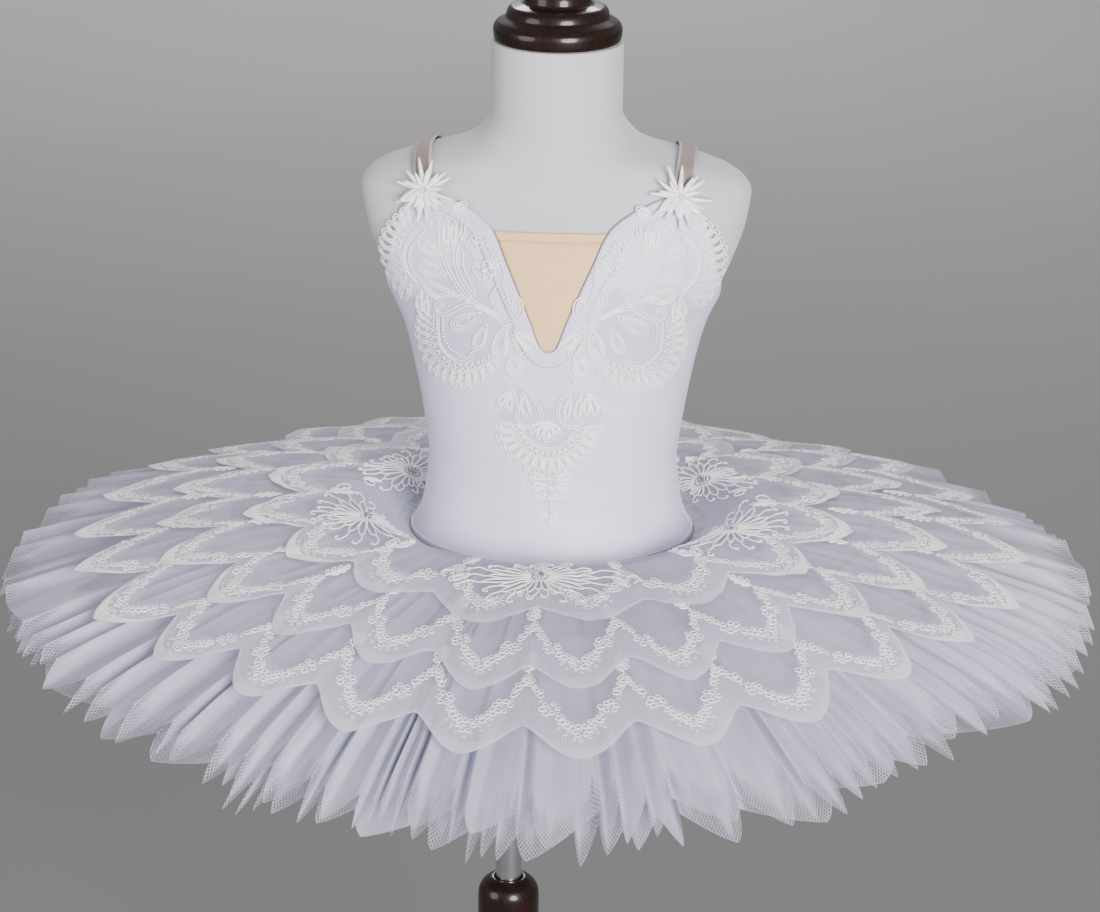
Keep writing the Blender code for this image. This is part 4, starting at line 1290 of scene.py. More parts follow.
@dataclass
class Stand:
    """The round base, the turned column with its clamp, and the chromed post."""

    base_radius: float = 0.150
    base_height: float = 0.022
    column_top: float = 0.331
    column_radius: float = 0.0235
    bore_radius: float = 0.0106
    bore_bottom: float = 0.055
    post_radius: float = 0.010
    post_bottom: float = 0.120
    post_top: float = 0.5597
    clamp_height: float = 0.296

    def build(self) -> None:
        """Makes every piece of the stand."""
        foot = self.base_height + 0.3 * MM
        turned(
            "stand_base_turned",
            [
                (0, self.base_height), (0.075, self.base_height), (0.090, 0.0213), (0.120, 0.0175),
                (0.138, 0.0150), (0.1405, 0.0128), (self.base_radius - 0.5 * MM, 0.0105),
                (self.base_radius, 0.0085), (self.base_radius, 0.0015), (self.base_radius - 1.5 * MM, 0),
                (0, 0),
            ],
            3 * MM, 160, BASE_WOOD, "stand_base", Body.STAND,
        )
        top = self.column_top
        turned(
            "stand_column_turned",
            [
                (0, self.bore_bottom), (self.bore_radius, self.bore_bottom),
                (self.bore_radius, top - 0.3 * MM), (0.0125, top), (0.0165, top - 0.0015),
                (0.0205, top - 0.005), (0.0230, top - 0.010), (self.column_radius, top - 0.016),
                (self.column_radius, top - 0.056), (0.0215, top - 0.0585), (0.0215, top - 0.0625),
                (0.0200, top - 0.068), (0.0196, 0.150),
                *((radius, foot + rise) for radius, rise in (
                    (0.0200, 0.050), (0.0232, 0.047), (0.0232, 0.042), (0.0210, 0.039), (0.0265, 0.026),
                    (0.0390, 0.0135), (0.0455, 0.0105), (0.0460, 0.0020),
                )),
                (0.0450, foot), (0, foot),
            ],
            2 * MM, 96, WOOD, "stand_column", Body.STAND,
        )
        turned(
            "post_tube",
            [
                (0, self.post_top), (self.post_radius - 0.8 * MM, self.post_top),
                (self.post_radius, self.post_top - 0.8 * MM), (self.post_radius, self.post_bottom + 0.8 * MM),
                (self.post_radius - 0.8 * MM, self.post_bottom), (0, self.post_bottom),
            ],
            0.5 * MM, 64, CHROME, "post", Body.POST,
        )
        self.make_knob()

    def make_knob(self) -> None:
        """The clamp's knurled knob, on the back of the column."""
        knob = turned(
            "clamp_knob_turned",
            [
                (0, 0.0200), (0.0050, 0.0202), (0.0088, 0.0196), (0.0108, 0.0172), (0.0110, 0.0155),
                (0.0110, 0.0088), (0.0100, 0.0072), (0.0050, 0.0058), (0.0042, 0.0045), (0.0040, 0), (0, 0),
            ],
            0.6 * MM, 72, CHROME, "clamp_knob", Body.STAND,
        )
        mesh = knob.data
        points = np.empty(len(mesh.vertices) * 3, np.float32)
        mesh.vertices.foreach_get("co", points)
        points = points.reshape(-1, 3)
        radius = np.hypot(points[:, 0], points[:, 1])
        turn = np.arctan2(points[:, 1], points[:, 0])
        cut = 1 - 0.055 * (0.5 + 0.5 * np.cos(24 * turn)) * (radius > 0.0095)
        points[:, :2] *= cut[:, None]
        out = self.column_radius + 0.3 * MM + points[:, 2]
        moved = together(points[:, 0], out, self.clamp_height - points[:, 1])
        mesh.vertices.foreach_set("co", moved.astype(np.float32).ravel())


# The form


@dataclass
class Form:
    """The limbless torso in cotton jersey, its turned neck cap and its metal finial."""

    columns: int = 128
    base: float = 0.3673
    bore: float = 0.0106
    socket: float = 0.070
    ball: float = 0.020

    def build(self) -> None:
        """Makes the torso and what tops its neck."""
        self.make_torso()
        self.make_neck()

    def make_torso(self) -> None:
        """The torso, closed below round the socket that its post stands in."""
        low = TORSO.sections[0][0]
        knots = np.array([row[0] for row in TORSO.sections])
        heights = np.unique(np.concatenate([np.linspace(a, b, 7) for a, b in zip(knots, knots[1:])]))
        degrees = np.linspace(0, 360, self.columns, endpoint=False)
        across, up = np.meshgrid(degrees, heights)
        grid = TORSO.section(across, up)
        rings = [grid]
        for share in (0.985, 0.94, 0.75, 0.5):
            rings.insert(0, grid[:1] * (share, share, 1))
        turn = np.radians(degrees)
        bore = together(-TORSO_PLACE[0] + self.bore * np.sin(turn), -self.bore * np.cos(turn), low)
        socket = bore + (0, 0, self.socket)
        rings = [socket[None], bore[None], *rings]
        points = np.concatenate(rings)
        faces = grid_faces(points, True).tolist()
        count = len(points) * self.columns
        faces.append(list(range(self.columns - 1, -1, -1)))
        faces.append(list(range(count - self.columns, count)))
        mesh = merged("dress_form_torso", [mesh_of("dress_form_torso", points, faces)], outward=True)
        mesh.set_sharp_from_angle(angle=math.radians(60))
        settle(link("dress_form_torso", mesh), JERSEY, ["dress_form"])

    def make_neck(self) -> None:
        """The cap of dark wood, turned in three steps, and the ball on it."""
        base = self.base
        turned(
            "neck_cap_turned",
            [
                *((radius, base + rise) for radius, rise in (
                    (0, 0.0360), (0.0195, 0.0360), (0.0222, 0.0345), (0.0233, 0.0310), (0.0236, 0.0275),
                    (0.0255, 0.0262), (0.0330, 0.0247), (0.0352, 0.0228), (0.0362, 0.0200), (0.0366, 0.0172),
                    (0.0385, 0.0162), (0.0430, 0.0138), (0.0452, 0.0110), (0.0458, 0.0075), (0.0453, 0.0030),
                    (0.0446, 0.0008),
                )),
                (0.0430, base), (0, base),
            ],
            1.2 * MM, 128, WOOD, "neck_cap", place=TORSO_PLACE,
        )
        low = base + 0.0363
        ball = self.ball
        arc = [math.radians(a) for a in range(90, -54, -6)]
        side = [(ball * math.cos(a), low + ball + ball * math.sin(a)) for a in arc]
        turned(
            "neck_finial_ball",
            [
                (0, side[0][1]), *side[1:], (0.0118, low + 0.0040), (0.0135, low + 0.0022), (0.0135, low),
                (0, low),
            ],
            0.8 * MM, 64, BRONZE, "neck_finial", place=TORSO_PLACE,
        )


# The garment's cloth


@dataclass
class Bodice:
    """The stretch bodice: front, back, neck binding and the skin-coloured modesty panel.

    A row runs across half a panel, from its edge nearest the centre line to its outer edge:
    degrees and height of each, and how many millimetres more its outer edge stands off. "dip" is
    how far the cloth is drawn in along its side seams, "binding" how wide the neck's binding is,
    and "neck_row" the row at which the neck opening starts.
    """

    inside: float = 1.3 * MM
    wall: float = 1.2 * MM
    gap: float = 0.3 * MM
    thin: float = 1.0 * MM
    dip: float = 0.45 * MM
    binding: float = 11 * MM
    spread: float = 0.105
    neck_row: int = 7
    front: Rows = (
        (0, 0.00015, 89.9, 0.00015, 0), (0, 0.020, 89.9, 0.020, 0), (0, 0.040, 89.9, 0.040, 0),
        (0, 0.060, 89.9, 0.060, 0), (0, 0.085, 89.9, 0.085, 0), (0, 0.110, 89.9, 0.110, 0),
        (0, 0.135, 89.9, 0.130, 0), (0, 0.1625, 89.9, 0.150, 0), (0.9, 0.1625, 89.9, 0.1515, 0),
        (3.0, 0.1655, 89.9, 0.155, 0), (6.3, 0.184, 89.9, 0.165, 0), (9.8, 0.204, 89.9, 0.1775, 0.3),
        (13.3, 0.224, 79, 0.193, 0.9), (16.9, 0.244, 65, 0.212, 0.9),
        (25.0, 0.2585, 54, 0.238, 0.6), (33.5, 0.266, 46.5, 0.2615, 0.4),
    )
    back: Rows = (
        (180, 0.00015, 90.1, 0.00015, 0), (180, 0.020, 90.1, 0.020, 0), (180, 0.040, 90.1, 0.040, 0),
        (180, 0.060, 90.1, 0.060, 0), (180, 0.085, 90.1, 0.085, 0), (180, 0.110, 90.1, 0.125, 0),
        (180, 0.145, 90.1, 0.1775, 0),
    )

    @property
    def outside(self) -> float:
        """How far the cloth's outer face is off the form."""
        return self.inside + self.wall

    def __post_init__(self) -> None:
        """Works out the neck's edge, flat, as metres across and up."""
        at = np.linspace(self.neck_row, len(self.front) - 1, 60)
        keys, columns = range(len(self.front)), list(zip(*self.front))
        degrees, height = (Curve(keys, column).at(at) for column in columns[:2])
        half = self.flat(degrees, height)
        self.neck = np.concatenate([half[::-1] * (-1, 1), half[1:]])
        rising = np.flatnonzero(np.diff(height) > 0.01 * MM)[0]
        self.neck_out = Curve(height[rising:], degrees[rising:])

    def flat(self, degrees: Array, height: Array) -> Array:
        """The cloth's own coordinates at points on the form."""
        return together(np.radians(degrees) * self.spread, height)

    def build(self) -> None:
        """Makes the cloth pieces and their seams."""
        for node, rows, size, area in (
            ("bodice_front", self.front, (0.30, 0.28), 0.058),
            ("bodice_back", self.back, (0.28, 0.18), 0.037),
        ):
            piece = self.make_panel(f"{node}_cloth", rows)
            settle(walled(piece, self.wall), SATIN, [node])
        self.make_modesty()
        self.make_binding()
        self.make_seams()

    def ripples(self, degrees: Array, height: Array) -> Array:
        """The soft unevenness of the stretched cloth."""
        soft = 0.22 * np.sin(degrees / 9 + 40 * height) * np.sin(height * 75 + degrees / 31)
        creases = np.sin(height * 260 + np.sin(degrees / 14) * 1.6)
        waist = np.exp(-(((height - 0.045) / 0.035) ** 2)) * 0.25 * creases
        return (soft + waist) * MM

    def make_panel(self, name: str, rows: Rows) -> Object:
        """Both halves of a panel, parted at the neck."""
        at = np.linspace(0, len(rows) - 1, (len(rows) - 1) * 6 + 1)
        share = np.linspace(0, 1, 45)
        curves = [Curve(range(len(rows)), column) for column in zip(*rows)]
        start_d, start_h, end_d, end_h, ease = (curve.at(at)[:, None] for curve in curves)
        halves = []
        for side in (-1, 1):
            degrees = side * (start_d + share * (end_d - start_d))
            height = start_h + share * (end_h - start_h)
            out = self.outside + share * ease * MM + self.ripples(degrees, height)
            out = out - self.dip * np.exp(-((np.abs(degrees - side * end_d) * 1.7) ** 2) / 4)
            grid, cloth = TORSO.point(degrees, height, out), self.flat(degrees, height)
            if side * (end_d[0, 0] - start_d[0, 0]) < 0:
                grid, cloth = grid[:, ::-1], cloth[:, ::-1]
            halves.append(cloth_mesh(name, grid, cloth))
        return link(name, merged(name, halves))

    def make_modesty(self) -> None:
        """The panel in the neck opening, with a turned hem along its top, sewn in dark thread that paints the
        fold's shadow.
        """
        hem, end = 0.2378, 15.2
        height = np.concatenate([
            np.linspace(0.1630, 0.2362, 32), np.linspace(0.2366, 0.2402, 13), np.linspace(0.2408, 0.2442, 5),
        ])
        degrees = (self.neck_out.at(height) - 0.35)[:, None] * np.linspace(-1, 1, 31)
        tall = height[:, None] + 0 * degrees
        folded = eased(tall, hem, hem + 0.8 * MM) * 0.5 * MM
        out = self.inside + 1.0 * MM + folded - 0.7 * MM * np.exp(-(((tall - hem) / 0.0006) ** 2))
        grid, cloth = TORSO.point(degrees, tall, out), self.flat(degrees, tall)
        piece = cloth_piece("modesty_cloth", grid, cloth, NUDE, ["modesty_panel"], self.thin)
        degrees = np.linspace(-end, end, 40)
        # Dark stitches on the hem's groove: real stitching and a painted shadow line of the fold.
        guides = seam_line("modesty_hem_stitches_and_shadow", degrees, 0.2384, self.inside + 1.55 * MM)
        STITCHING.run(guides, HEM_THREAD_AND_SHADOW, Pitch=1.8 * MM, Width=0.6 * MM)

    def make_binding(self) -> None:
        """The folded band round the neck opening, crowned, with its edge stitching."""
        along = unit(np.gradient(self.neck, axis=0))
        away = together(along[:, 1], -along[:, 0])
        share = np.linspace(0, 1, 9)[:, None]
        low = self.outside + self.gap
        flat = self.neck[None] + away[None] * (share[..., None] * self.binding)
        across, height = flat[..., 0], flat[..., 1]
        across = np.where(np.sign(across) == np.sign(self.neck[None, :, 0] + 1e-9), across, 0.0)
        crown = (1.0 + 0.3 * np.sin(math.pi * share)) * MM
        crown[0] = crown[-1] = 0.75 * MM
        grid = TORSO.point(np.degrees(across / self.spread), height, low + crown)
        cloth = together(run_along(self.neck)[None], share * self.binding)
        grid, cloth = grid[:, ::-1], cloth[:, ::-1]
        piece = cloth_piece("neck_band", grid, cloth, SATIN, ["neck_binding"], self.thin)
        for index, part in enumerate((0.12, 0.86)):
            line = self.neck + away * self.binding * part
            line = line[np.abs(line[:, 0]) > 0.6 * MM] if part > 0.5 else line
            degrees, height = np.degrees(line[:, 0] / self.spread), line[:, 1]
            guides = seam_line(f"binding_stitches_{index + 1}", degrees, height, low + 1.12 * MM)
            STITCHING.run(guides, STITCH, Pitch=2.0 * MM)

    def make_seams(self) -> None:
        """The side seams' stitching and the fine cord along the seam with the skirt."""
        for name, side in SIDES:
            for index, shift in enumerate((-1.6, 1.6)):
                guides = seam_line(
                    f"side_seam_stitches_{name}_{index + 1}", side * (90 + shift * 0.9),
                    np.linspace(0.004, 0.174, 60), self.outside + 0.05 * MM,
                )
                STITCHING.run(guides, STITCH, Pitch=2.4 * MM)
        degrees = np.linspace(0, 360, 240, endpoint=False)
        guides = seam_line("basque_piping", degrees, 0.0035, self.outside + 0.15 * MM, True)
        CORDING.run(guides, SATIN_CORD, Width=1.9 * MM, Height=1.2 * MM)


@dataclass
class Brief:
    """The brief under the skirt, its gusset and its elastic leg edges, as (degrees, height) rows."""

    inside: float = 1.3 * MM
    wall: float = 1.2 * MM
    ease: float = 1.0 * MM
    spread: float = 0.105
    gusset_width: float = 36 * MM
    leg_front: Rows = (
        (0, -0.118), (13, -0.115), (26, -0.102), (39, -0.087), (64, -0.056), (90, -0.024),
    )
    leg_back: Rows = (
        (0, -0.118), (13, -0.116), (26, -0.112), (39, -0.102), (64, -0.070), (90, -0.024),
    )

    def build(self) -> None:
        """Makes both halves, the gusset and the edges."""
        self.make_half("brief_front", 0.0, self.leg_front)
        self.make_half("brief_back", 180.0, self.leg_back)
        self.make_gusset()

    @property
    def outside(self) -> float:
        """How far the brief's outer face is off the form."""
        return self.inside + self.wall + self.ease

    def make_half(self, node: str, middle: float, line: Rows) -> None:
        """Half of the brief, from its seam down to its leg openings, and its edge."""
        name = f"{node}_cloth"
        leg = Curve(*zip(*line))
        degrees = np.linspace(-89.9, 89.9, 91)[None]
        share = np.linspace(0, 1, 26)[:, None]
        height = -0.15 * MM + share * (leg.at(np.abs(degrees)) + 0.15 * MM)
        gather = 0.35 * np.sin(degrees * 0.9 + 3 * share) * eased(share, 0.6, 1.0) * MM
        out = self.inside + self.wall + self.ease * np.minimum(1, 4 * share) + gather
        grid = TORSO.point(degrees + middle, height, out)[::-1]
        cloth = together(np.radians(degrees) * self.spread, height)[::-1]
        piece = cloth_piece(name, grid, cloth, SATIN, [node], self.wall)
        side = degrees[0]
        keep = np.abs(side) > 10
        for part, chosen in (("a", keep & (side < 0)), ("b", keep & (side > 0))):
            turn, low = side[chosen] + middle, leg.at(np.abs(side[chosen])) + 1.2 * MM
            guides = seam_line(f"{name}_edge_{part}", turn, low, self.outside + 0.5 * MM)
            CORDING.run(guides, SATIN_CORD, Width=3.0 * MM, Height=1.6 * MM)

    def make_gusset(self) -> None:
        """Under the form, from the bottom of the brief's front to the bottom of its back."""
        bottom = TORSO.sections[0][0]
        heights = np.array([-0.1183, -0.124, bottom])
        lines = []
        for x in np.linspace(-self.gusset_width / 2, self.gusset_width / 2, 13):
            reach = np.sqrt(1 - (x / TORSO.half_width.at(heights)) ** 2)
            front = together(x, -TORSO.front.at(heights) * reach, heights)
            back = together(x, TORSO.back.at(heights) * reach, heights)
            middle = np.array([(x, 0.02, bottom), (x, -0.02, bottom)])
            lines.append(np.concatenate([back, middle, front[::-1]]))
        keys = range(len(lines[0]))
        at = np.linspace(0, keys[-1], 57)
        grid = np.array([together(*(Curve(keys, column).at(at) for column in line.T)) for line in lines])
        grid = grid + off_route(grid) * self.outside
        piece = cloth_piece("gusset_cloth", grid, measured(grid), SATIN, ["brief_gusset"], self.wall)


@dataclass
class Straps:
    """Two nude elastic straps over the shoulders, each with a satin star at its front end.

    Each end and the centre of a strap's route are (depth, height), and "front" and "back" are how
    far from the middle it runs there. The star lies at (degrees, height), and its rounds are
    petals, their length, half width, lift and first direction.
    """

    width: float = 13 * MM
    gap: float = 1.1 * MM
    wall: float = 1.0 * MM
    front: float = 0.0905
    back: float = 0.066
    bow: float = 7 * MM
    centre: Point = (0.0, 0.25)
    front_end: Point = (-0.0443, 0.2668)
    back_end: Point = (0.0585, 0.1648)
    star_place: Point = (39.5, 0.2665)
    star_out: float = 6.4 * MM
    star_wall: float = 0.35 * MM
    star_rounds: tuple[tuple[int, float, float, float, float], ...] = (
        (12, 23.5, 1.9, 0.0, 82), (9, 15.5, 2.1, 1.3, 48), (3, 18.5, 4.6, 0.5, 205),
    )

    def build(self) -> None:
        """Makes both straps and both stars."""
        for name, side in SIDES:
            self.make_strap(name, side)
            self.make_star(name, side)

    def swing(self, y: float, height: float) -> float:
        """The angle of a point about the middle of the strap's route, 0 at the front."""
        return math.atan2(height - self.centre[1], self.centre[0] - y)

    def make_strap(self, name: str, side: int) -> None:
        """From the top of the bodice's front to the top of its back."""
        start = self.swing(*self.front_end)
        end = self.swing(*self.back_end) + math.tau
        share = np.linspace(0, 1, 90)[None]
        shift = np.linspace(-self.width / 2, self.width / 2, 9)[:, None]
        turn = start + share * (end - start)
        bow = self.bow * np.sin(math.pi * share)
        x = side * (self.front + (self.back - self.front) * share**2 + bow) + shift
        turn = turn + 0 * x
        near, far = np.zeros_like(x), np.full_like(x, 0.2)
        for _ in range(30):
            middle = (near + far) / 2
            y = self.centre[0] - middle * np.cos(turn)
            height = self.centre[1] + middle * np.sin(turn)
            within = TORSO.holds(x, y, height)
            near, far = np.where(within, middle, near), np.where(within, far, middle)
        grid = together(x, y, height)
        grid = grid + off_route(grid) * (self.gap + self.wall)
        cloth = together(run_along(grid[4])[None], shift)
        piece = cloth_piece(f"strap_elastic_{name}", grid, cloth, STRAP, [f"strap_{name}"], self.wall)

    def make_star(self, name: str, side: int) -> None:
        """Long pointed petals of folded satin, shorter ones over them, three broad ones below, and a knot."""
        degrees, height = self.star_place
        foot = TORSO.point(side * degrees, height, 0.0)
        normal = TORSO.normal(np.array(side * degrees), np.array(height))
        sideways = unit(np.cross((0, 0, 1.0), normal))
        upward = np.cross(normal, sideways)
        petals = []
        for layer, (count, reach, half, lift, phase) in enumerate(self.star_rounds):
            room = 360 if layer < 2 else 165
            for i in range(count):
                way = math.radians(phase + room * i / count + 6 * math.sin(3.3 * i))
                length = reach * (1 + 0.10 * math.sin(2.2 * i + layer))
                t = np.linspace(0, 1, 9)[:, None]
                s = np.linspace(-1, 1, 5)[None]
                wide = half * np.sin(math.pi * np.clip(t * 0.92 + 0.08, 0, 1)) ** 0.8 * (1 - 0.25 * t)
                bend = math.sin(5.1 * i + layer) * 1.6 * t**2
                r = 1.2 + (length - 1.2) * t + 0 * s
                q = wide * s + bend
                curve = (1.5 + 0.6 * math.sin(4 * i)) * t**2 * 0.7
                rise = lift + 1.1 * (1 - np.abs(s)) * np.sin(math.pi * t) + curve
                x = (r * math.cos(way) - q * math.sin(way))[..., None] * MM
                y = (r * math.sin(way) + q * math.cos(way))[..., None] * MM
                grid = foot + x * sideways + y * upward + (self.star_out + rise * MM)[..., None] * normal
                grid = grid[:, ::-1]
                petals.append(cloth_mesh("petal", grid, measured(grid)))
        mesh = merged(f"star_petals_{name}", petals)
        settle(walled(link(mesh.name, mesh), self.star_wall), THREAD, [f"strap_star_{name}"])
        knot = Motif()
        knot.beads = [(0, 0, 1.6)] + [(*way_of(turn) * 2.6, 1.0) for turn in np.arange(0, 6.2, 1.05)]

        def place(across: Array, up: Array) -> tuple[Array, Array]:
            """Lays the knot on the star's middle."""
            flat = across[:, None] * sideways + up[:, None] * upward
            return foot + flat + normal * (self.star_out + 1.6 * MM), np.broadcast_to(normal, flat.shape)

        BEADING.run(knot.bead_guides(f"star_knot_{name}", place, 0.3 * MM), PEARL, Radius=0.8 * MM)


# Corded lace on the bodice


@dataclass
class BodiceLace:
    """The two chest pieces and the centre piece, corded and beaded over fine net."""

    bodice: Bodice
    chest_centre: Point = (0.0696, 0.185)
    centre_centre: Point = (0.0, 0.100)
    chest_outline: Rows = (
        (-161, 51), (-146, 48), (-125, 52), (-103, 54), (-73, 58), (-49, 63), (-34, 56), (-12, 49), (0, 64),
        (14, 74), (33, 71), (66, 68), (86, 67), (102, 68), (126, 55), (147, 45), (176, 43), (199, 51),
    )
    centre_outline: Rows = (
        (-90, 70), (-78, 47), (-50, 35), (-26, 42), (-8, 44), (7, 43), (20, 57), (42, 54), (68, 45), (90, 24),
    )

    def build(self) -> None:
        """Makes the three pieces."""
        chest = self.draw_chest()
        for name, side in SIDES:
            self.lay(f"chest_{name}", chest, side, f"chest_lace_{name}")
            self.ground(f"chest_ground_{name}", self.chest_centre, self.chest_outline, side, 0.86)
        self.lay("centre", self.draw_centre(), 1, "centre_lace")
        other_half = tuple((180 - a, r) for a, r in self.centre_outline[-2::-1])
        self.ground("centre_ground", self.centre_centre, (*self.centre_outline, *other_half), 1, 0.80)

    def hug(self, across: Array, height: Array) -> Array:
        """How far off the form the lace's underside lies: on the bodice, or over its binding."""
        points = together(across, height)
        apart = np.linalg.norm(points[:, None] - self.bodice.neck[None, ::2], axis=-1).min(1)
        over = 1 - eased(apart, self.bodice.binding + 0.5 * MM, self.bodice.binding + 5 * MM)
        return self.bodice.outside + 0.35 * MM + over * 1.55 * MM

    def placer(self, side: int, out: float = 0.0) -> Place:
        """What lays flat points of one side on the bodice, out metres further off it."""

        def place(across: Array, height: Array) -> tuple[Array, Array]:
            """Points and the way off the cloth there."""
            degrees = np.degrees(side * across / self.bodice.spread)
            normal = TORSO.normal(degrees, height)
            off = self.hug(side * across, height) + out
            return TORSO.section(degrees, height) + normal * off[:, None], normal

        return place

    def lay(self, name: str, motif: Motif, side: int, node: str) -> None:
        """Makes one piece's cords and beads."""
        place = self.placer(side)
        CORDING.run(motif.guides(f"{name}_cords", place, 0.35 * MM), THREAD, [node], Width=1.35 * MM)
        BEADING.run(motif.bead_guides(f"{name}_beads", place, 0.5 * MM), PEARL, Radius=1.05 * MM)

    def ground(self, name: str, centre: Point, outline: Rows, side: int, share: float) -> None:
        """Makes the fine net that a piece is worked on."""
        keys = [row[0] for row in outline]
        reach = Curve(keys, [row[1] * MM for row in outline])
        turn = np.linspace(keys[0], keys[0] + 360, 90, endpoint=False)
        turn = np.where(turn > keys[-1], turn - 360 + (360 - (keys[-1] - keys[0])), turn)
        radius = reach.at(turn) * share
        rings = np.linspace(0.02, 1, 16)[:, None]
        across = centre[0] + rings * radius * np.cos(np.radians(turn))
        height = centre[1] + rings * radius * np.sin(np.radians(turn))
        points, _ = self.placer(side, -0.15 * MM)(across.ravel(), height.ravel())
        grid, cloth = points.reshape(*across.shape, 3), together(across, height + 1.0)
        if side > 0:
            grid, cloth = grid[:, ::-1], cloth[:, ::-1]
        piece = cloth_piece(name, grid[::-1], cloth[::-1], LACE_GROUND, ring=True)

    def draw_chest(self) -> Motif:
        """A fan at the armhole, leaves on a bowed stem, a scroll, and a broad fan under it."""
        lace = Motif()
        lace.comb(
            [(84, 244), (91, 235), (97, 226), (100, 216), (100, 207), (96, 200)],
            [(90, 253), (104, 242), (117, 230), (127, 218), (131, 206), (129, 195), (118, 187)],
            10, 1.1, 0.78, (0.6,),
        )
        lace.rib([(78, 240), (86, 233), (93, 225), (96, 216), (94, 208), (88, 202)], 1.6, 0.85)
        lace.string([(74, 240), (82, 232), (88, 225), (91, 216), (89, 209), (84, 202)], 2.4)
        lace.string([(80, 246), (88, 238), (95, 229), (99, 219), (98, 207)], 2.4, 0.8)
        lace.rib(
            [(62, 243), (63, 232), (62, 222), (59, 212), (54, 202), (47, 196), (38, 191), (24, 186)],
            2.3, 1.2,
        )
        lace.rib([(47, 250), (48, 243), (52, 234), (55, 224), (54, 215), (51, 207), (46, 199)], 2.1, 1.1)
        lace.line([(49, 229), (50, 220), (48, 212), (44, 202)], 1.2)
        for foot, tip, width, inner in (
            ((63, 225), (80, 232), 9.0, (0.72, 0.4)), ((62, 213), (84, 216), 10.5, (0.74, 0.45)),
            ((59, 200), (83, 200), 11.0, (0.76, 0.5)), ((59.5, 227), (58, 250), 4.0, (0.6,)),
            ((55.5, 229), (53, 248), 3.6, (0.6,)), ((55, 252), (46, 261), 5.0, (0.6,)),
            ((43, 189), (68, 174), 9.5, (0.74, 0.45)), ((40, 181), (52, 161), 8.0, (0.7,)),
            ((27, 182), (36, 156), 10.5, (0.8, 0.55)), ((22, 179), (8, 165), 7.5, (0.75, 0.5)),
            ((24, 176), (15, 160), 6.5, (0.65,)), ((19, 162), (26, 145), 12.0, (0.8, 0.6, 0.4)),
            ((87, 198), (98, 182), 6.0, (0.6,)), ((83, 195), (90, 181), 5.0, (0.6,)),
        ):
            lace.petal(foot, tip, width, 1.15, inner)
        lace.line([(68, 241), (69, 246), (67, 249), (64, 249), (64, 243)], 1.3)
        lace.blossom((41, 236), 4.6, 5)
        lace.blossom((37.5, 218), 7.2, 6, 1.2, 1.8)
        lace.blossom((29.5, 224), 4.2, 5)
        lace.blossom((50, 257), 3.6, 5)
        lace.string([(35, 238), (32, 231), (25, 219), (26, 212), (25, 205), (24, 200)], 3.2, 1.25)
        lace.line([(30, 208), (35, 201), (33, 193)], 1.9)
        lace.rib(
            [(23, 196), (21, 201), (17, 200), (16, 193), (19, 187), (25, 184), (34, 188), (42, 192)],
            2.0, 1.2,
        )
        lace.rib(
            [(42, 192), (50, 194), (59, 190), (68, 185), (75, 183), (78, 187), (74, 191), (70, 189)],
            2.2, 1.3,
        )
        lace.rib([(77, 194), (65, 199), (55, 198), (49, 196)], 1.9, 1.0)
        lace.comb(
            [(85, 179), (87, 171), (89, 162), (86, 154), (79, 149),
             (70, 147), (60, 149), (50, 153), (42, 158)],
            [(99, 181), (109, 169), (117, 157), (116, 146), (107, 136), (94, 131),
             (81, 129), (69, 129), (58, 131), (48, 137), (37, 146)],
            15, 1.1, 0.78, (0.6,),
        )
        lace.rib([(78, 181), (83, 168), (84, 158), (76, 151), (66, 149), (55, 154)], 1.9, 1.0)
        lace.string([(74, 180), (78, 168), (76, 160), (69, 155), (61, 154), (54, 159)], 2.5)
        lace.string([(82, 181), (86, 172), (87, 164)], 2.5, 0.9)
        return lace

    def draw_centre(self) -> Motif:
        """Two scrolls under bright arcs, a half fan between them, and a leafy tail."""
        lace = Motif()
        lace.line([(-33, 142), (-28, 139), (-23, 139), (-17, 143)], 2.1)
        lace.line([(17, 145), (20, 139), (26, 136.5), (37, 140)], 2.1)
        for scroll in (
            [(-45, 126), (-46, 120), (-41, 116), (-35, 118), (-32, 124), (-31, 131), (-28, 137)],
            [(-27, 133), (-24, 126), (-22, 119), (-24, 112), (-20, 106), (-14, 105.5), (-8, 108), (-3, 112)],
            [(-20, 138), (-15, 134), (-11, 129), (-7, 122), (-4, 114)],
            [(58, 122), (57, 116), (52, 114), (45, 117), (38, 124), (31, 132)],
            [(20, 135), (13, 131), (9, 124), (8, 115), (12, 109), (18, 106), (24, 108), (28, 111)],
        ):
            lace.rib(scroll, 1.9, 1.0)
        for foot, tip, width in (
            ((-28, 131), (-38, 121), 5), ((-28, 131), (-29, 117), 4.5), ((-19, 133), (-15, 112), 7),
            ((31, 132), (38, 114), 6), ((29, 132), (30, 115), 5), ((25, 132), (22, 112), 5.5),
            ((17, 130), (14, 113), 5),
        ):
            lace.petal(foot, tip, width, 1.05, (0.65,))
        for tip in ((-8, 97), (-1, 94), (5, 97), (11, 101), (-13, 102)):
            lace.petal((0, 111), tip, 4.4, 1.1, (0.55,))
        lace.comb(
            [(-21, 105), (-20, 99), (-14, 93), (-6, 88), (2, 87), (10, 88), (17, 93), (22, 99), (24, 104)],
            [(-41, 104), (-41, 92), (-34, 83), (-26, 76), (-15, 72), (1, 70),
             (15, 72), (26, 76), (35, 83), (41, 92), (43, 103)],
            15, 1.05, 0.76, (0.6,),
        )
        lace.rib(
            [(-20, 107), (-18, 99), (-12, 94), (-5, 90), (2, 89), (9, 90), (16, 95), (21, 101), (23, 107)],
            1.7, 0.9,
        )
        lace.string([(-15, 101), (-9, 95), (2, 92), (12, 95), (18, 101)], 2.5)
        lace.line([(2, 73), (3, 60), (3.5, 46), (3.5, 30)], 1.2)
        for side in (-1, 1):
            for start, reach, rise, width in (
                (66, 17, 2.5, 5), (59, 18, 2.5, 5.5), (51, 13, 4, 5), (37, 9, 3.5, 4),
            ):
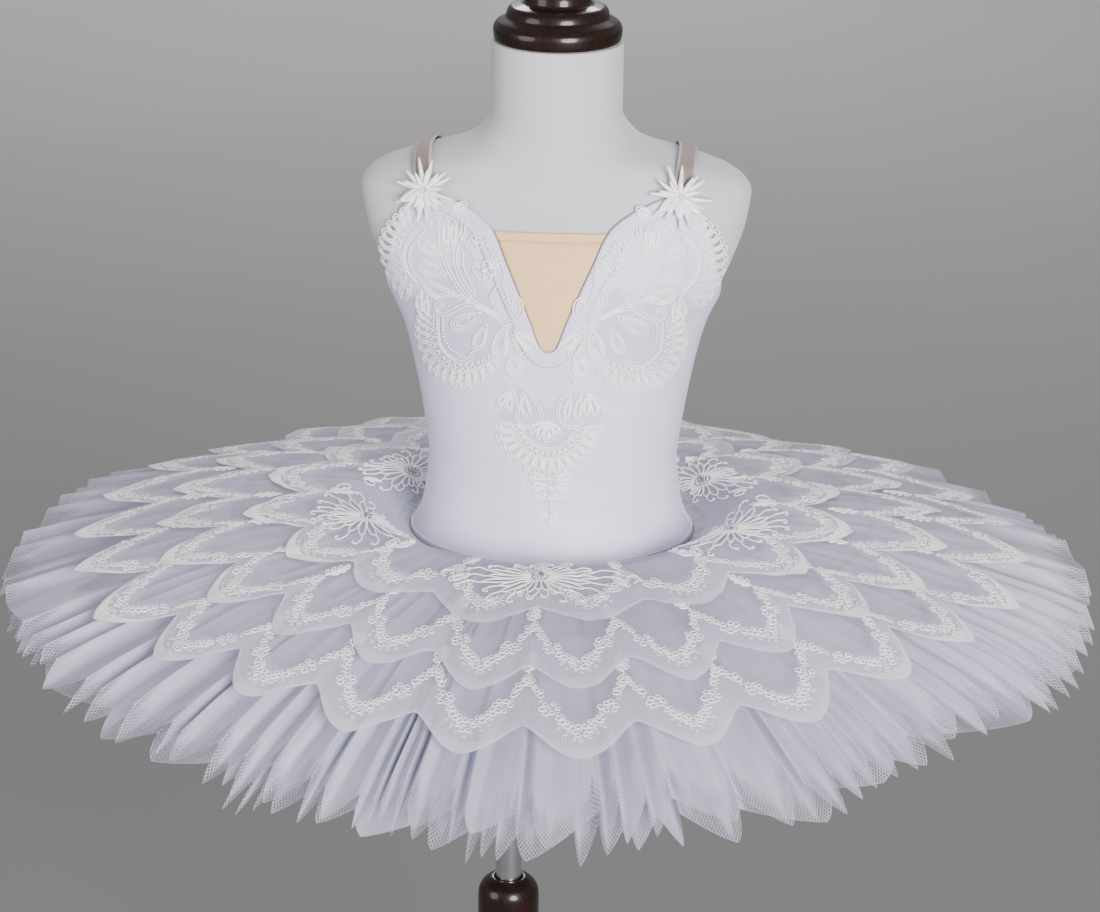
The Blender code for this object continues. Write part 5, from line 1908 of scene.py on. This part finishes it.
                lace.petal((3, start), (3 + side * reach, start + rise), width, 1.0, (0.55,))
            lace.string([(3 + side * 5, 57), (3 + side * 8, 53)], 3.0)
        lace.petal((3.5, 36), (3.5, 28), 3.6, 0.95)
        return lace


# The skirt


@dataclass(frozen=True)
class Layer:
    """One pleated net: how many pleats, how deep they are at the hem, and how far out it reaches."""

    pleats: int
    depth: float
    reach: float


@dataclass(frozen=True)
class Tier:
    """One tier of scalloped lace, its shares of the way from seam to hem."""

    name: str
    scallops: int
    level: int
    start: float
    valley: float
    tip: float

    def arch(self, turn: Array) -> Array:
        """0 at the valleys between scallops, 1 at their tips."""
        return 1 - np.abs(2 * np.remainder(turn * self.scallops / math.tau, 1) - 1)

    def edge(self, turn: Array) -> Array:
        """How far out the edge reaches: shallow waves in front, deeper and pointed at the sides."""
        arch, aside = self.arch(turn), np.sin(turn) ** 2
        valley = self.valley + (self.tip - self.valley) * 0.48 * (1 - aside)
        pointed = 0.06 + 0.44 * aside
        rounded_ = (1 - pointed) * np.sin(math.pi / 2 * arch) ** (1.5 - 0.6 * aside) + pointed * arch**0.8
        uneven = 0.010 * np.sin(5 * turn + self.level) + 0.006 * np.sin(11 * turn + 2 * self.level)
        return valley + (self.tip - valley) * rounded_ + uneven

    def row(self, turn: Array) -> Array:
        """How far out the row of ring flowers lies: well inside the edge, with a cusp over each valley."""
        arch, aside = self.arch(turn), np.sin(turn) ** 2
        inset = 0.084 - 0.028 * aside + (0.060 - 0.072 * aside) * (1 - arch) ** 1.6
        return self.edge(turn) - inset

    def band(self, turn: Array) -> Array:
        """How wide the stitched border is, as a share of the skirt."""
        return 0.013 + 0.031 * self.arch(turn) ** 1.4

    def turns(self, steps: int) -> Array:
        """The directions of the tier's columns, closer together at its valleys and tips."""
        t = np.arange(steps) / steps
        fine = t - 0.35 * np.sin(4 * math.pi * t) / (4 * math.pi)
        return (np.arange(self.scallops)[:, None] + fine[None]).ravel() * math.tau / self.scallops


@dataclass
class Skirt:
    """Four pleated layers of stiff net, three tiers of scalloped lace, and six flowers.

    Heights, falls and reaches are at shares of the way from the seam, 0, to the hem, 1. "span" is
    that way along the cloth, "waist" the seam's usual distance from the axis, "blossom" how many
    millimetres a blossom's rings lie from its middle, and "net_round" and "net_deep" the full net's
    flat hem and depth, which are not used. Each "seed" starts the random draws of its kind of piece.
    """

    radius: float = 0.405
    waist: float = 0.095
    span: float = 0.32
    blossom: float = 4.7
    net_round: float = 3.6
    net_deep: float = 0.34
    clear: float = 3.1 * MM
    net_step: float = 2.1 * MM
    tier_gap: float = 1.25 * MM
    tier_step: float = 1.8 * MM
    waves: int = 9
    wave: float = 3.5 * MM
    ripple: float = 1.3 * MM
    fold: float = 0.6 * MM
    broad: Rows = ((68, 55, 2.2), (278, 26, 1.6))
    fall: Rows = (
        (0.00, 0.001, 0.04), (0.13, 0.015, 0.10), (0.40, 0.007, 0.28), (0.84, -0.028, 0.78),
        (1.00, -0.045, 1.00),
    )
    hang: Rows = (
        (0, -0.007), (20, -0.005), (50, 0.009), (90, 0.013), (120, 0.001), (150, -0.014), (180, -0.018),
    )
    hem: Rows = (
        (-180, 0.0), (-90, 0.008), (-60, 0.0), (-42, -0.022), (-22, -0.020), (-8, 0.0), (4, 0.018),
        (13, -0.020), (34, -0.022), (60, -0.008), (90, -0.014), (180, 0.0),
    )
    nets: tuple[Layer, ...] = (
        Layer(112, 0.0090, 1.0), Layer(84, 0.0080, 0.975), Layer(60, 0.0065, 0.84), Layer(44, 0.0050, 0.70),
    )
    tiers: tuple[Tier, ...] = (
        Tier("outer", 27, 0, 0.44, 0.65, 0.83), Tier("middle", 24, 1, 0.25, 0.46, 0.625),
        Tier("inner", 16, 2, 0.03, 0.27, 0.395),
    )
    flowers: Rows = (
        (0, 0.20, 1.0), (68, 0.13, 1.0), (120, 0.09, 0.75), (180, 0.13, 0.75), (240, 0.09, 0.75),
        (292, 0.13, 1.0),
    )
    flower_level: float = 2.8
    flower_petals: int = 26
    net_seed: int = 70
    ring_seed: int = 11
    sprig_seed: int = 23
    flower_seed: int = 40

    def __post_init__(self) -> None:
        """Works out the skirt's curves."""
        share, height, give = zip(*self.fall)
        self.height, self.give = Curve(share, height), Curve(share, give)
        self.hanging, self.longer = Curve(*zip(*self.hang)), Curve(*zip(*self.hem))

    def build(self) -> None:
        """Makes the nets, the lace and the flowers."""
        for index in range(len(self.nets)):
            self.make_net(index)
        for tier in self.tiers:
            self.make_tier(tier)
        for number, (degrees, away, size) in enumerate(self.flowers, 1):
            self.make_flower(number, degrees, away, size)

    def seam(self, turn: Array | float) -> Array:
        """From the torso's axis to the skirt's inner edge."""
        wide = TORSO.half_width.at(0) + self.clear
        deep = np.where(np.cos(turn) > 0, TORSO.front.at(0), TORSO.back.at(0)) + self.clear
        return wide * deep / np.hypot(deep * np.sin(turn), wide * np.cos(turn))

    def point(self, turn: Array, share: Array, lift: Array | float) -> Array:
        """Points over the top net: share 0 at its seam, 1 at its hem, lift above its middle."""
        seam = self.seam(turn)
        away = np.degrees(np.remainder(turn + math.pi, math.tau) - math.pi)
        radius = seam + share * (self.radius * (1 + share**2 * self.longer.at(away)) - seam)
        height = self.height.at(share) + lift + share * self.hanging.at(np.abs(away))
        height = height + self.wave * np.sin(self.waves * turn) * self.give.at(share)
        return together(radius * np.sin(turn), -radius * np.cos(turn), height)

    def tier_lift(self, turn: Array, share: Array, level: float) -> Array:
        """The underside of a lace tier above the middle of the top net, on its ridges."""
        give = self.give.at(share)
        close = 0.15 + 0.85 * eased(share, 0.02, 0.16)
        folds = 0.6 * np.sin(61 * turn + 1) + 0.4 * np.sin(87 * turn + 2)
        rough = 1 + 0.5 * np.sin(23 * turn + 1) + 0.3 * np.sin(41 * turn + 2)
        folded = self.fold * folds * eased(share, 0.04, 0.25)
        ridges = (self.nets[0].depth + self.ripple * rough) * give
        return folded + ridges + (self.tier_gap + level * self.tier_step) * close

    def on_tier(self, turn: Array, share: Array, level: float, lift: float | Array) -> Array:
        """Points lift above a tier's underside."""
        return self.point(turn, share, self.tier_lift(turn, share, level) + lift)

    def off_tier(self, turn: Array, share: Array, level: float) -> Array:
        """Which way is straight up off a tier at each point."""
        step = 0.002
        here = self.on_tier(turn, share, level, 0)
        round_ = self.on_tier(turn + step, share, level, 0) - here
        normal = unit(np.cross(round_, self.on_tier(turn, share + step, level, 0) - here))
        return np.where(normal[..., 2:] < 0, -normal, normal)

    def make_net(self, index: int) -> None:
        """One layer: an unfolded ring of net, then its pleats."""
        layer = self.nets[index]
        chance = np.random.default_rng(self.net_seed + index)
        wide = chance.uniform(0.45, 0.95, layer.pleats)
        wide *= np.where(chance.random(layer.pleats) < 0.24, 3.0, 1.0)
        where = np.degrees(np.arange(layer.pleats) * math.tau / layer.pleats)
        for middle, over, broader in self.broad:
            wide *= 1 + broader * np.exp(-(((where - middle) / over) ** 2))
        wide *= math.tau / wide.sum()
        lean = chance.uniform(0.28, 0.40, layer.pleats) * np.where(np.abs(where - 100) < 85, 1, -1)
        high = chance.uniform(0.55, 1.0, layer.pleats)
        low = chance.uniform(0.45, 1.35, layer.pleats) + 0.25 * np.sin(np.radians(7 * where + 50 * index))
        steps = 12
        part = np.arange(steps) / steps
        turn = ((np.cumsum(wide) - wide)[:, None] + wide[:, None] * part).ravel()[None]
        ridge = (high[:, None] + (np.roll(high, -1) - high)[:, None] * part).ravel()
        share = np.concatenate([np.linspace(0, 0.12, 8), np.linspace(0.14, layer.reach, 34)])[:, None]
        drop = sum(
            self.net_step + (upper.depth + lower.depth) * self.give.at(share)
            for upper, lower in zip(self.nets[:index], self.nets[1 : index + 1])
        )
        close = 0.9 * MM * index * (1 - eased(share, 0.0, 0.05))
        grid = self.point(turn, share, -drop)
        grid = grid + unit(grid * (1, 1, 0)) * close[..., None]
        mesh = cloth_mesh(f"net_pleats_{index + 1}", grid, together(turn, share), True)
        # fold rises across each pleat, from one ridge to the next; the net's finish paints shade where it is
        # high.
        fold = np.where(lean[:, None] > 0, part, 1 - part)
        toothed = 0.55 + 0.45 * eased(np.cos(turn), 0.1, 0.7)
        for key, values in (
            ("part", np.tile(part, layer.pleats)), ("high", ridge), ("low", np.repeat(low, steps)),
            ("wide", np.repeat(wide, steps)), ("lean", np.repeat(lean, steps)), ("give", self.give.at(share)),
            ("hem", share / layer.reach * toothed), ("fold", fold.ravel()),
        ):
            tag(mesh, key, values, grid.shape[:2])
        made = PLEATING.run(mesh, TULLE, [f"net_layer_{index + 1}"], Depth=layer.depth)
        self.measure_pleats(made.data, grid.shape[:2], layer.pleats)

    def measure_pleats(self, mesh: Mesh, shape: tuple[int, int], pleats: int) -> None:
        """Sets a pleated net's cloth coordinates by its true lengths, each pleat's from its own ridge.

        "grain" is how far the hem has slipped outwards at each column, so that the net's cells stay square.
        """
        at = np.empty(shape[0] * shape[1] * 3)
        mesh.vertices.foreach_get("co", at)
        at = at.reshape(*shape, 3)
        at = np.concatenate([at, at[:, :1]], 1)
        out = unit(np.diff(at, axis=0))
        out = np.concatenate([out[:1], out])[:, :-1]
        step = np.diff(at, axis=1)
        slip = (step * out).sum(-1)
        round_ = np.sqrt((step**2).sum(-1) - slip**2).reshape(shape[0], pleats, -1)
        slip = slip[-1].reshape(pleats, -1)
        tag(mesh, "grain", (np.cumsum(slip, -1) - slip).ravel()[None], shape)
        ends = np.cumsum(round_[-1].sum(-1))
        starts = np.concatenate([[0], ends[:-1]])
        along = (starts[None, :, None] + np.cumsum(round_, -1) - round_).reshape(shape)
        along = np.concatenate([along, np.full((shape[0], 1), ends[-1])], 1)
        inwards = np.linalg.norm(np.diff(at, axis=0), axis=-1)
        across = np.concatenate([np.cumsum(inwards[::-1], 0)[::-1], np.zeros((1, shape[1] + 1))])
        cloth = np.stack((along, across), -1)
        spread_cloth(mesh.uv_layers["Cloth"], cloth, grid_faces(cloth).ravel())

    def make_tier(self, tier: Tier) -> None:
        """One tier: its net, its stitched border, its ring flowers and its sprigs."""
        turn = tier.turns(24)
        edge = tier.edge(turn)
        share = tier.start + (edge - tier.start) * np.linspace(0, 1, 26)[:, None]
        grid = self.on_tier(turn, share, tier.level, 0)
        cloth = together(turn * 0.30, (edge - share) * self.span)
        nodes = [f"lace_tier_{tier.name}"]
        piece = cloth_piece(f"lace_{tier.name}_net", grid, cloth, TIER_NET, nodes, ring=True)
        trims = [self.make_border(tier, turn), self.make_rings(tier), self.make_sprigs(tier)]

    def make_border(self, tier: Tier, turn: Array) -> Object:
        """The border: a soft band of side-by-side stitches, drawn opaque at the sides and sheer in front and
        behind, a painted sheen.
        """
        edge, wide = tier.edge(turn), tier.band(turn)
        across = np.linspace(0, 1, 7)[:, None]
        share = edge - wide * (1 - across)
        crown = (0.15 + 0.25 * np.sin(math.pi * across)) * MM
        grid = self.on_tier(turn, share, tier.level, crown)
        cloth = together(run_along(grid[-1])[None], across * wide * self.span)
        band = cloth_piece(f"lace_{tier.name}_border", grid, cloth, BORDER, ring=True)
        # Painted sheen: high at the skirt's sides, low in front and behind.
        dense = eased(np.abs(np.sin(turn)), 0.58, 0.93) * eased(np.cos(turn), -0.75, -0.25)
        tag(band.data, "dense", 0.18 + 0.80 * dense, grid.shape[:2])
        return band

    def make_rings(self, tier: Tier) -> Object:
        """Blossoms of six rings at each scallop's tip and sides, single rings between, a few outside."""
        chance = np.random.default_rng(self.ring_seed + tier.scallops)
        width = self.radius - self.waist
        around = [(*way_of(turn) * self.blossom, 1.0) for turn in np.arange(6) * math.tau / 6]
        rows = []
        for part in (0.5, 0.22, 0.78):
            rows += [(part, *ring) for ring in around]
            rows.append((part, 0.0, 0.0, 0.6))
        for part in (0.015, 0.05, 0.09, 0.13, 0.30, 0.34, 0.38, 0.42):
            rows += [
                (place, 0.0, away, size) for place in (part, 1 - part)
                for away, size in ((0, 1.05), (-4.4, 0.85), (4.2, 0.6))
            ]
        for part in np.linspace(0.30, 0.70, 7):
            rows.append((part, 0.0, 9.5, 0.55))
        table = np.array(rows)
        count = len(table) * tier.scallops
        part = (np.arange(tier.scallops)[:, None] + table[None, :, 0]).ravel()
        x, y, size = (np.tile(column, tier.scallops) for column in table.T[1:])
        turn = part * math.tau / tier.scallops
        share = tier.row(turn) + (y + chance.normal(0, 0.5, count)) * MM / width
        turn = turn + (x + chance.normal(0, 0.5, count)) * MM / (self.waist + share * width)
        points = self.on_tier(turn, share, tier.level, 0.45 * MM)
        size = size * chance.uniform(0.85, 1.15, count)
        away = self.off_tier(turn, share, tier.level)
        guides = guide_mesh(f"lace_{tier.name}_rings", points, away, size, [])
        return RING_FLOWERS.run(guides, THREAD)

    def make_sprigs(self, tier: Tier) -> Object:
        """A small leafy fork over each valley, pointing to the waist."""
        width = self.radius - self.waist
        radius = self.waist + tier.valley * width
        chance = np.random.default_rng(self.sprig_seed + tier.scallops)
        sprigs = Motif()
        for i in range(tier.scallops):
            turn = i * math.tau / tier.scallops
            away = (float(tier.row(np.array(turn))) - 0.018) * width
            foot = np.array((turn * radius, away)) / MM
            lean = chance.normal(0, 0.15)
            up = np.array((math.sin(lean), -math.cos(lean))) * chance.uniform(0.8, 1.1)
            aside = way_of(lean)
            sprigs.line([foot, foot + up * 9 + aside, foot + up * 18], 1.1)
            for hand in (-1, 1):
                for low, reach, out in ((3, 8, 5.0), (8, 14, 5.5), (13, 19, 3.5)):
                    low += hand
                    sprigs.petal(foot + up * low, foot + up * (reach + hand) + aside * hand * out, 2.6, 1.1)
            sprigs.petal(foot + up * 17, foot + up * 23, 2.8, 1.1)

        def lay(across: Array, out: Array) -> tuple[Array, Array]:
            """Points and the way off the cloth there."""
            turn, share = across / radius, out / width
            return self.on_tier(turn, share, tier.level, 0.3 * MM), self.off_tier(turn, share, tier.level)

        guides = sprigs.guides(f"lace_{tier.name}_sprigs", lay, 0.2 * MM)
        return CORDING.run(guides, THREAD, Width=1.2 * MM)

    def make_flower(self, number: int, degrees: float, away: float, size: float) -> None:
        """Slender petals with curled tips round a close middle that holds three stones.

        Args:
            number: which flower it is.
            degrees: its direction from the axis.
            away: its middle's share of the way from seam to hem.
            size: how large it is beside the one in front.
        """
        turn_0 = math.radians(degrees)
        seam = float(self.seam(turn_0))
        width = self.radius - seam
        radius = seam + away * width

        def lay(across: Array, up: Array) -> tuple[Array, Array]:
            """Lays flat points on the skirt, up being away from the waist."""
            turn, share = turn_0 + across / radius, np.clip(away + up / width, 0.02, 1.0)
            level = self.flower_level
            return self.on_tier(turn, share, level, 0), self.off_tier(turn, share, level)

        lace = self.draw_flower(number, size)
        guides = lace.guides(f"flower_{number}_cords", lay, 0.4 * MM)
        CORDING.run(guides, THREAD, [f"skirt_flower_{number}"], Width=1.2 * MM, Height=1.0 * MM)
        BEADING.run(lace.bead_guides(f"flower_{number}_beads", lay, 0.6 * MM), PEARL, Radius=0.9 * MM)
        stones = Motif()
        stones.beads = [(-3.0, 0.6, 1.0), (0.2, -1.4, 1.0), (2.9, 0.9, 1.0)]
        BEADING.run(stones.bead_guides(f"flower_{number}_stones", lay, 2.0 * MM), STONE, Radius=1.3 * MM)

    def draw_flower(self, number: int, size: float) -> Motif:
        """One flower, drawn flat: up is away from the waist."""
        lace = Motif()
        chance = np.random.default_rng(self.flower_seed + number)
        for i in range(self.flower_petals):
            degrees = -90 + 360 * i / self.flower_petals
            way = math.radians(degrees)
            towards_waist = math.sin(way) < -0.2
            longer = 24 * abs(math.cos(way)) ** 2
            reach = ((17 if towards_waist else 30) + longer) * size * (0.86 + 0.28 * chance.random())
            hand = 1 if math.cos(way) > 0 else -1
            along = way_of(way)
            across = np.array((-along[1], along[0])) * hand
            lace.petal(along * 6, along * reach * 0.72, 3.2 + reach * 0.03, 0.65)
            if i % 2 or not towards_waist:
                tip = along * reach + across * reach * 0.06
                lace.line([along * reach * 0.72, along * reach * 0.88, tip], 0.8)
                lace.curl(tuple(tip + across * 2.4), 2.6, degrees - 90 * hand, 0.75 * hand, 1.3)
        lace.string([way_of(turn) * 4.2 for turn in np.linspace(0, 5.8, 9)], 2.2, 0.9)
        for hand in (-1, 1):
            lace.curl((hand * 60 * size, 10 * size), 6.5 * size, 90, hand * -0.9, 1.5)
            lace.petal((hand * 48 * size, 4 * size), (hand * 56 * size, 20 * size), 6 * size, 1.1, (0.55,))
        return lace


def main() -> None:
    """Builds the looks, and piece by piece."""
    logging.basicConfig(level=logging.INFO, format="%(message)s")
    Studio().build()
    Stand().build()
    Form().build()
    bodice = Bodice()
    bodice.build()
    Brief().build()
    Straps().build()
    BodiceLace(bodice).build()
    Skirt().build()


if __name__ == "__main__":
    main()
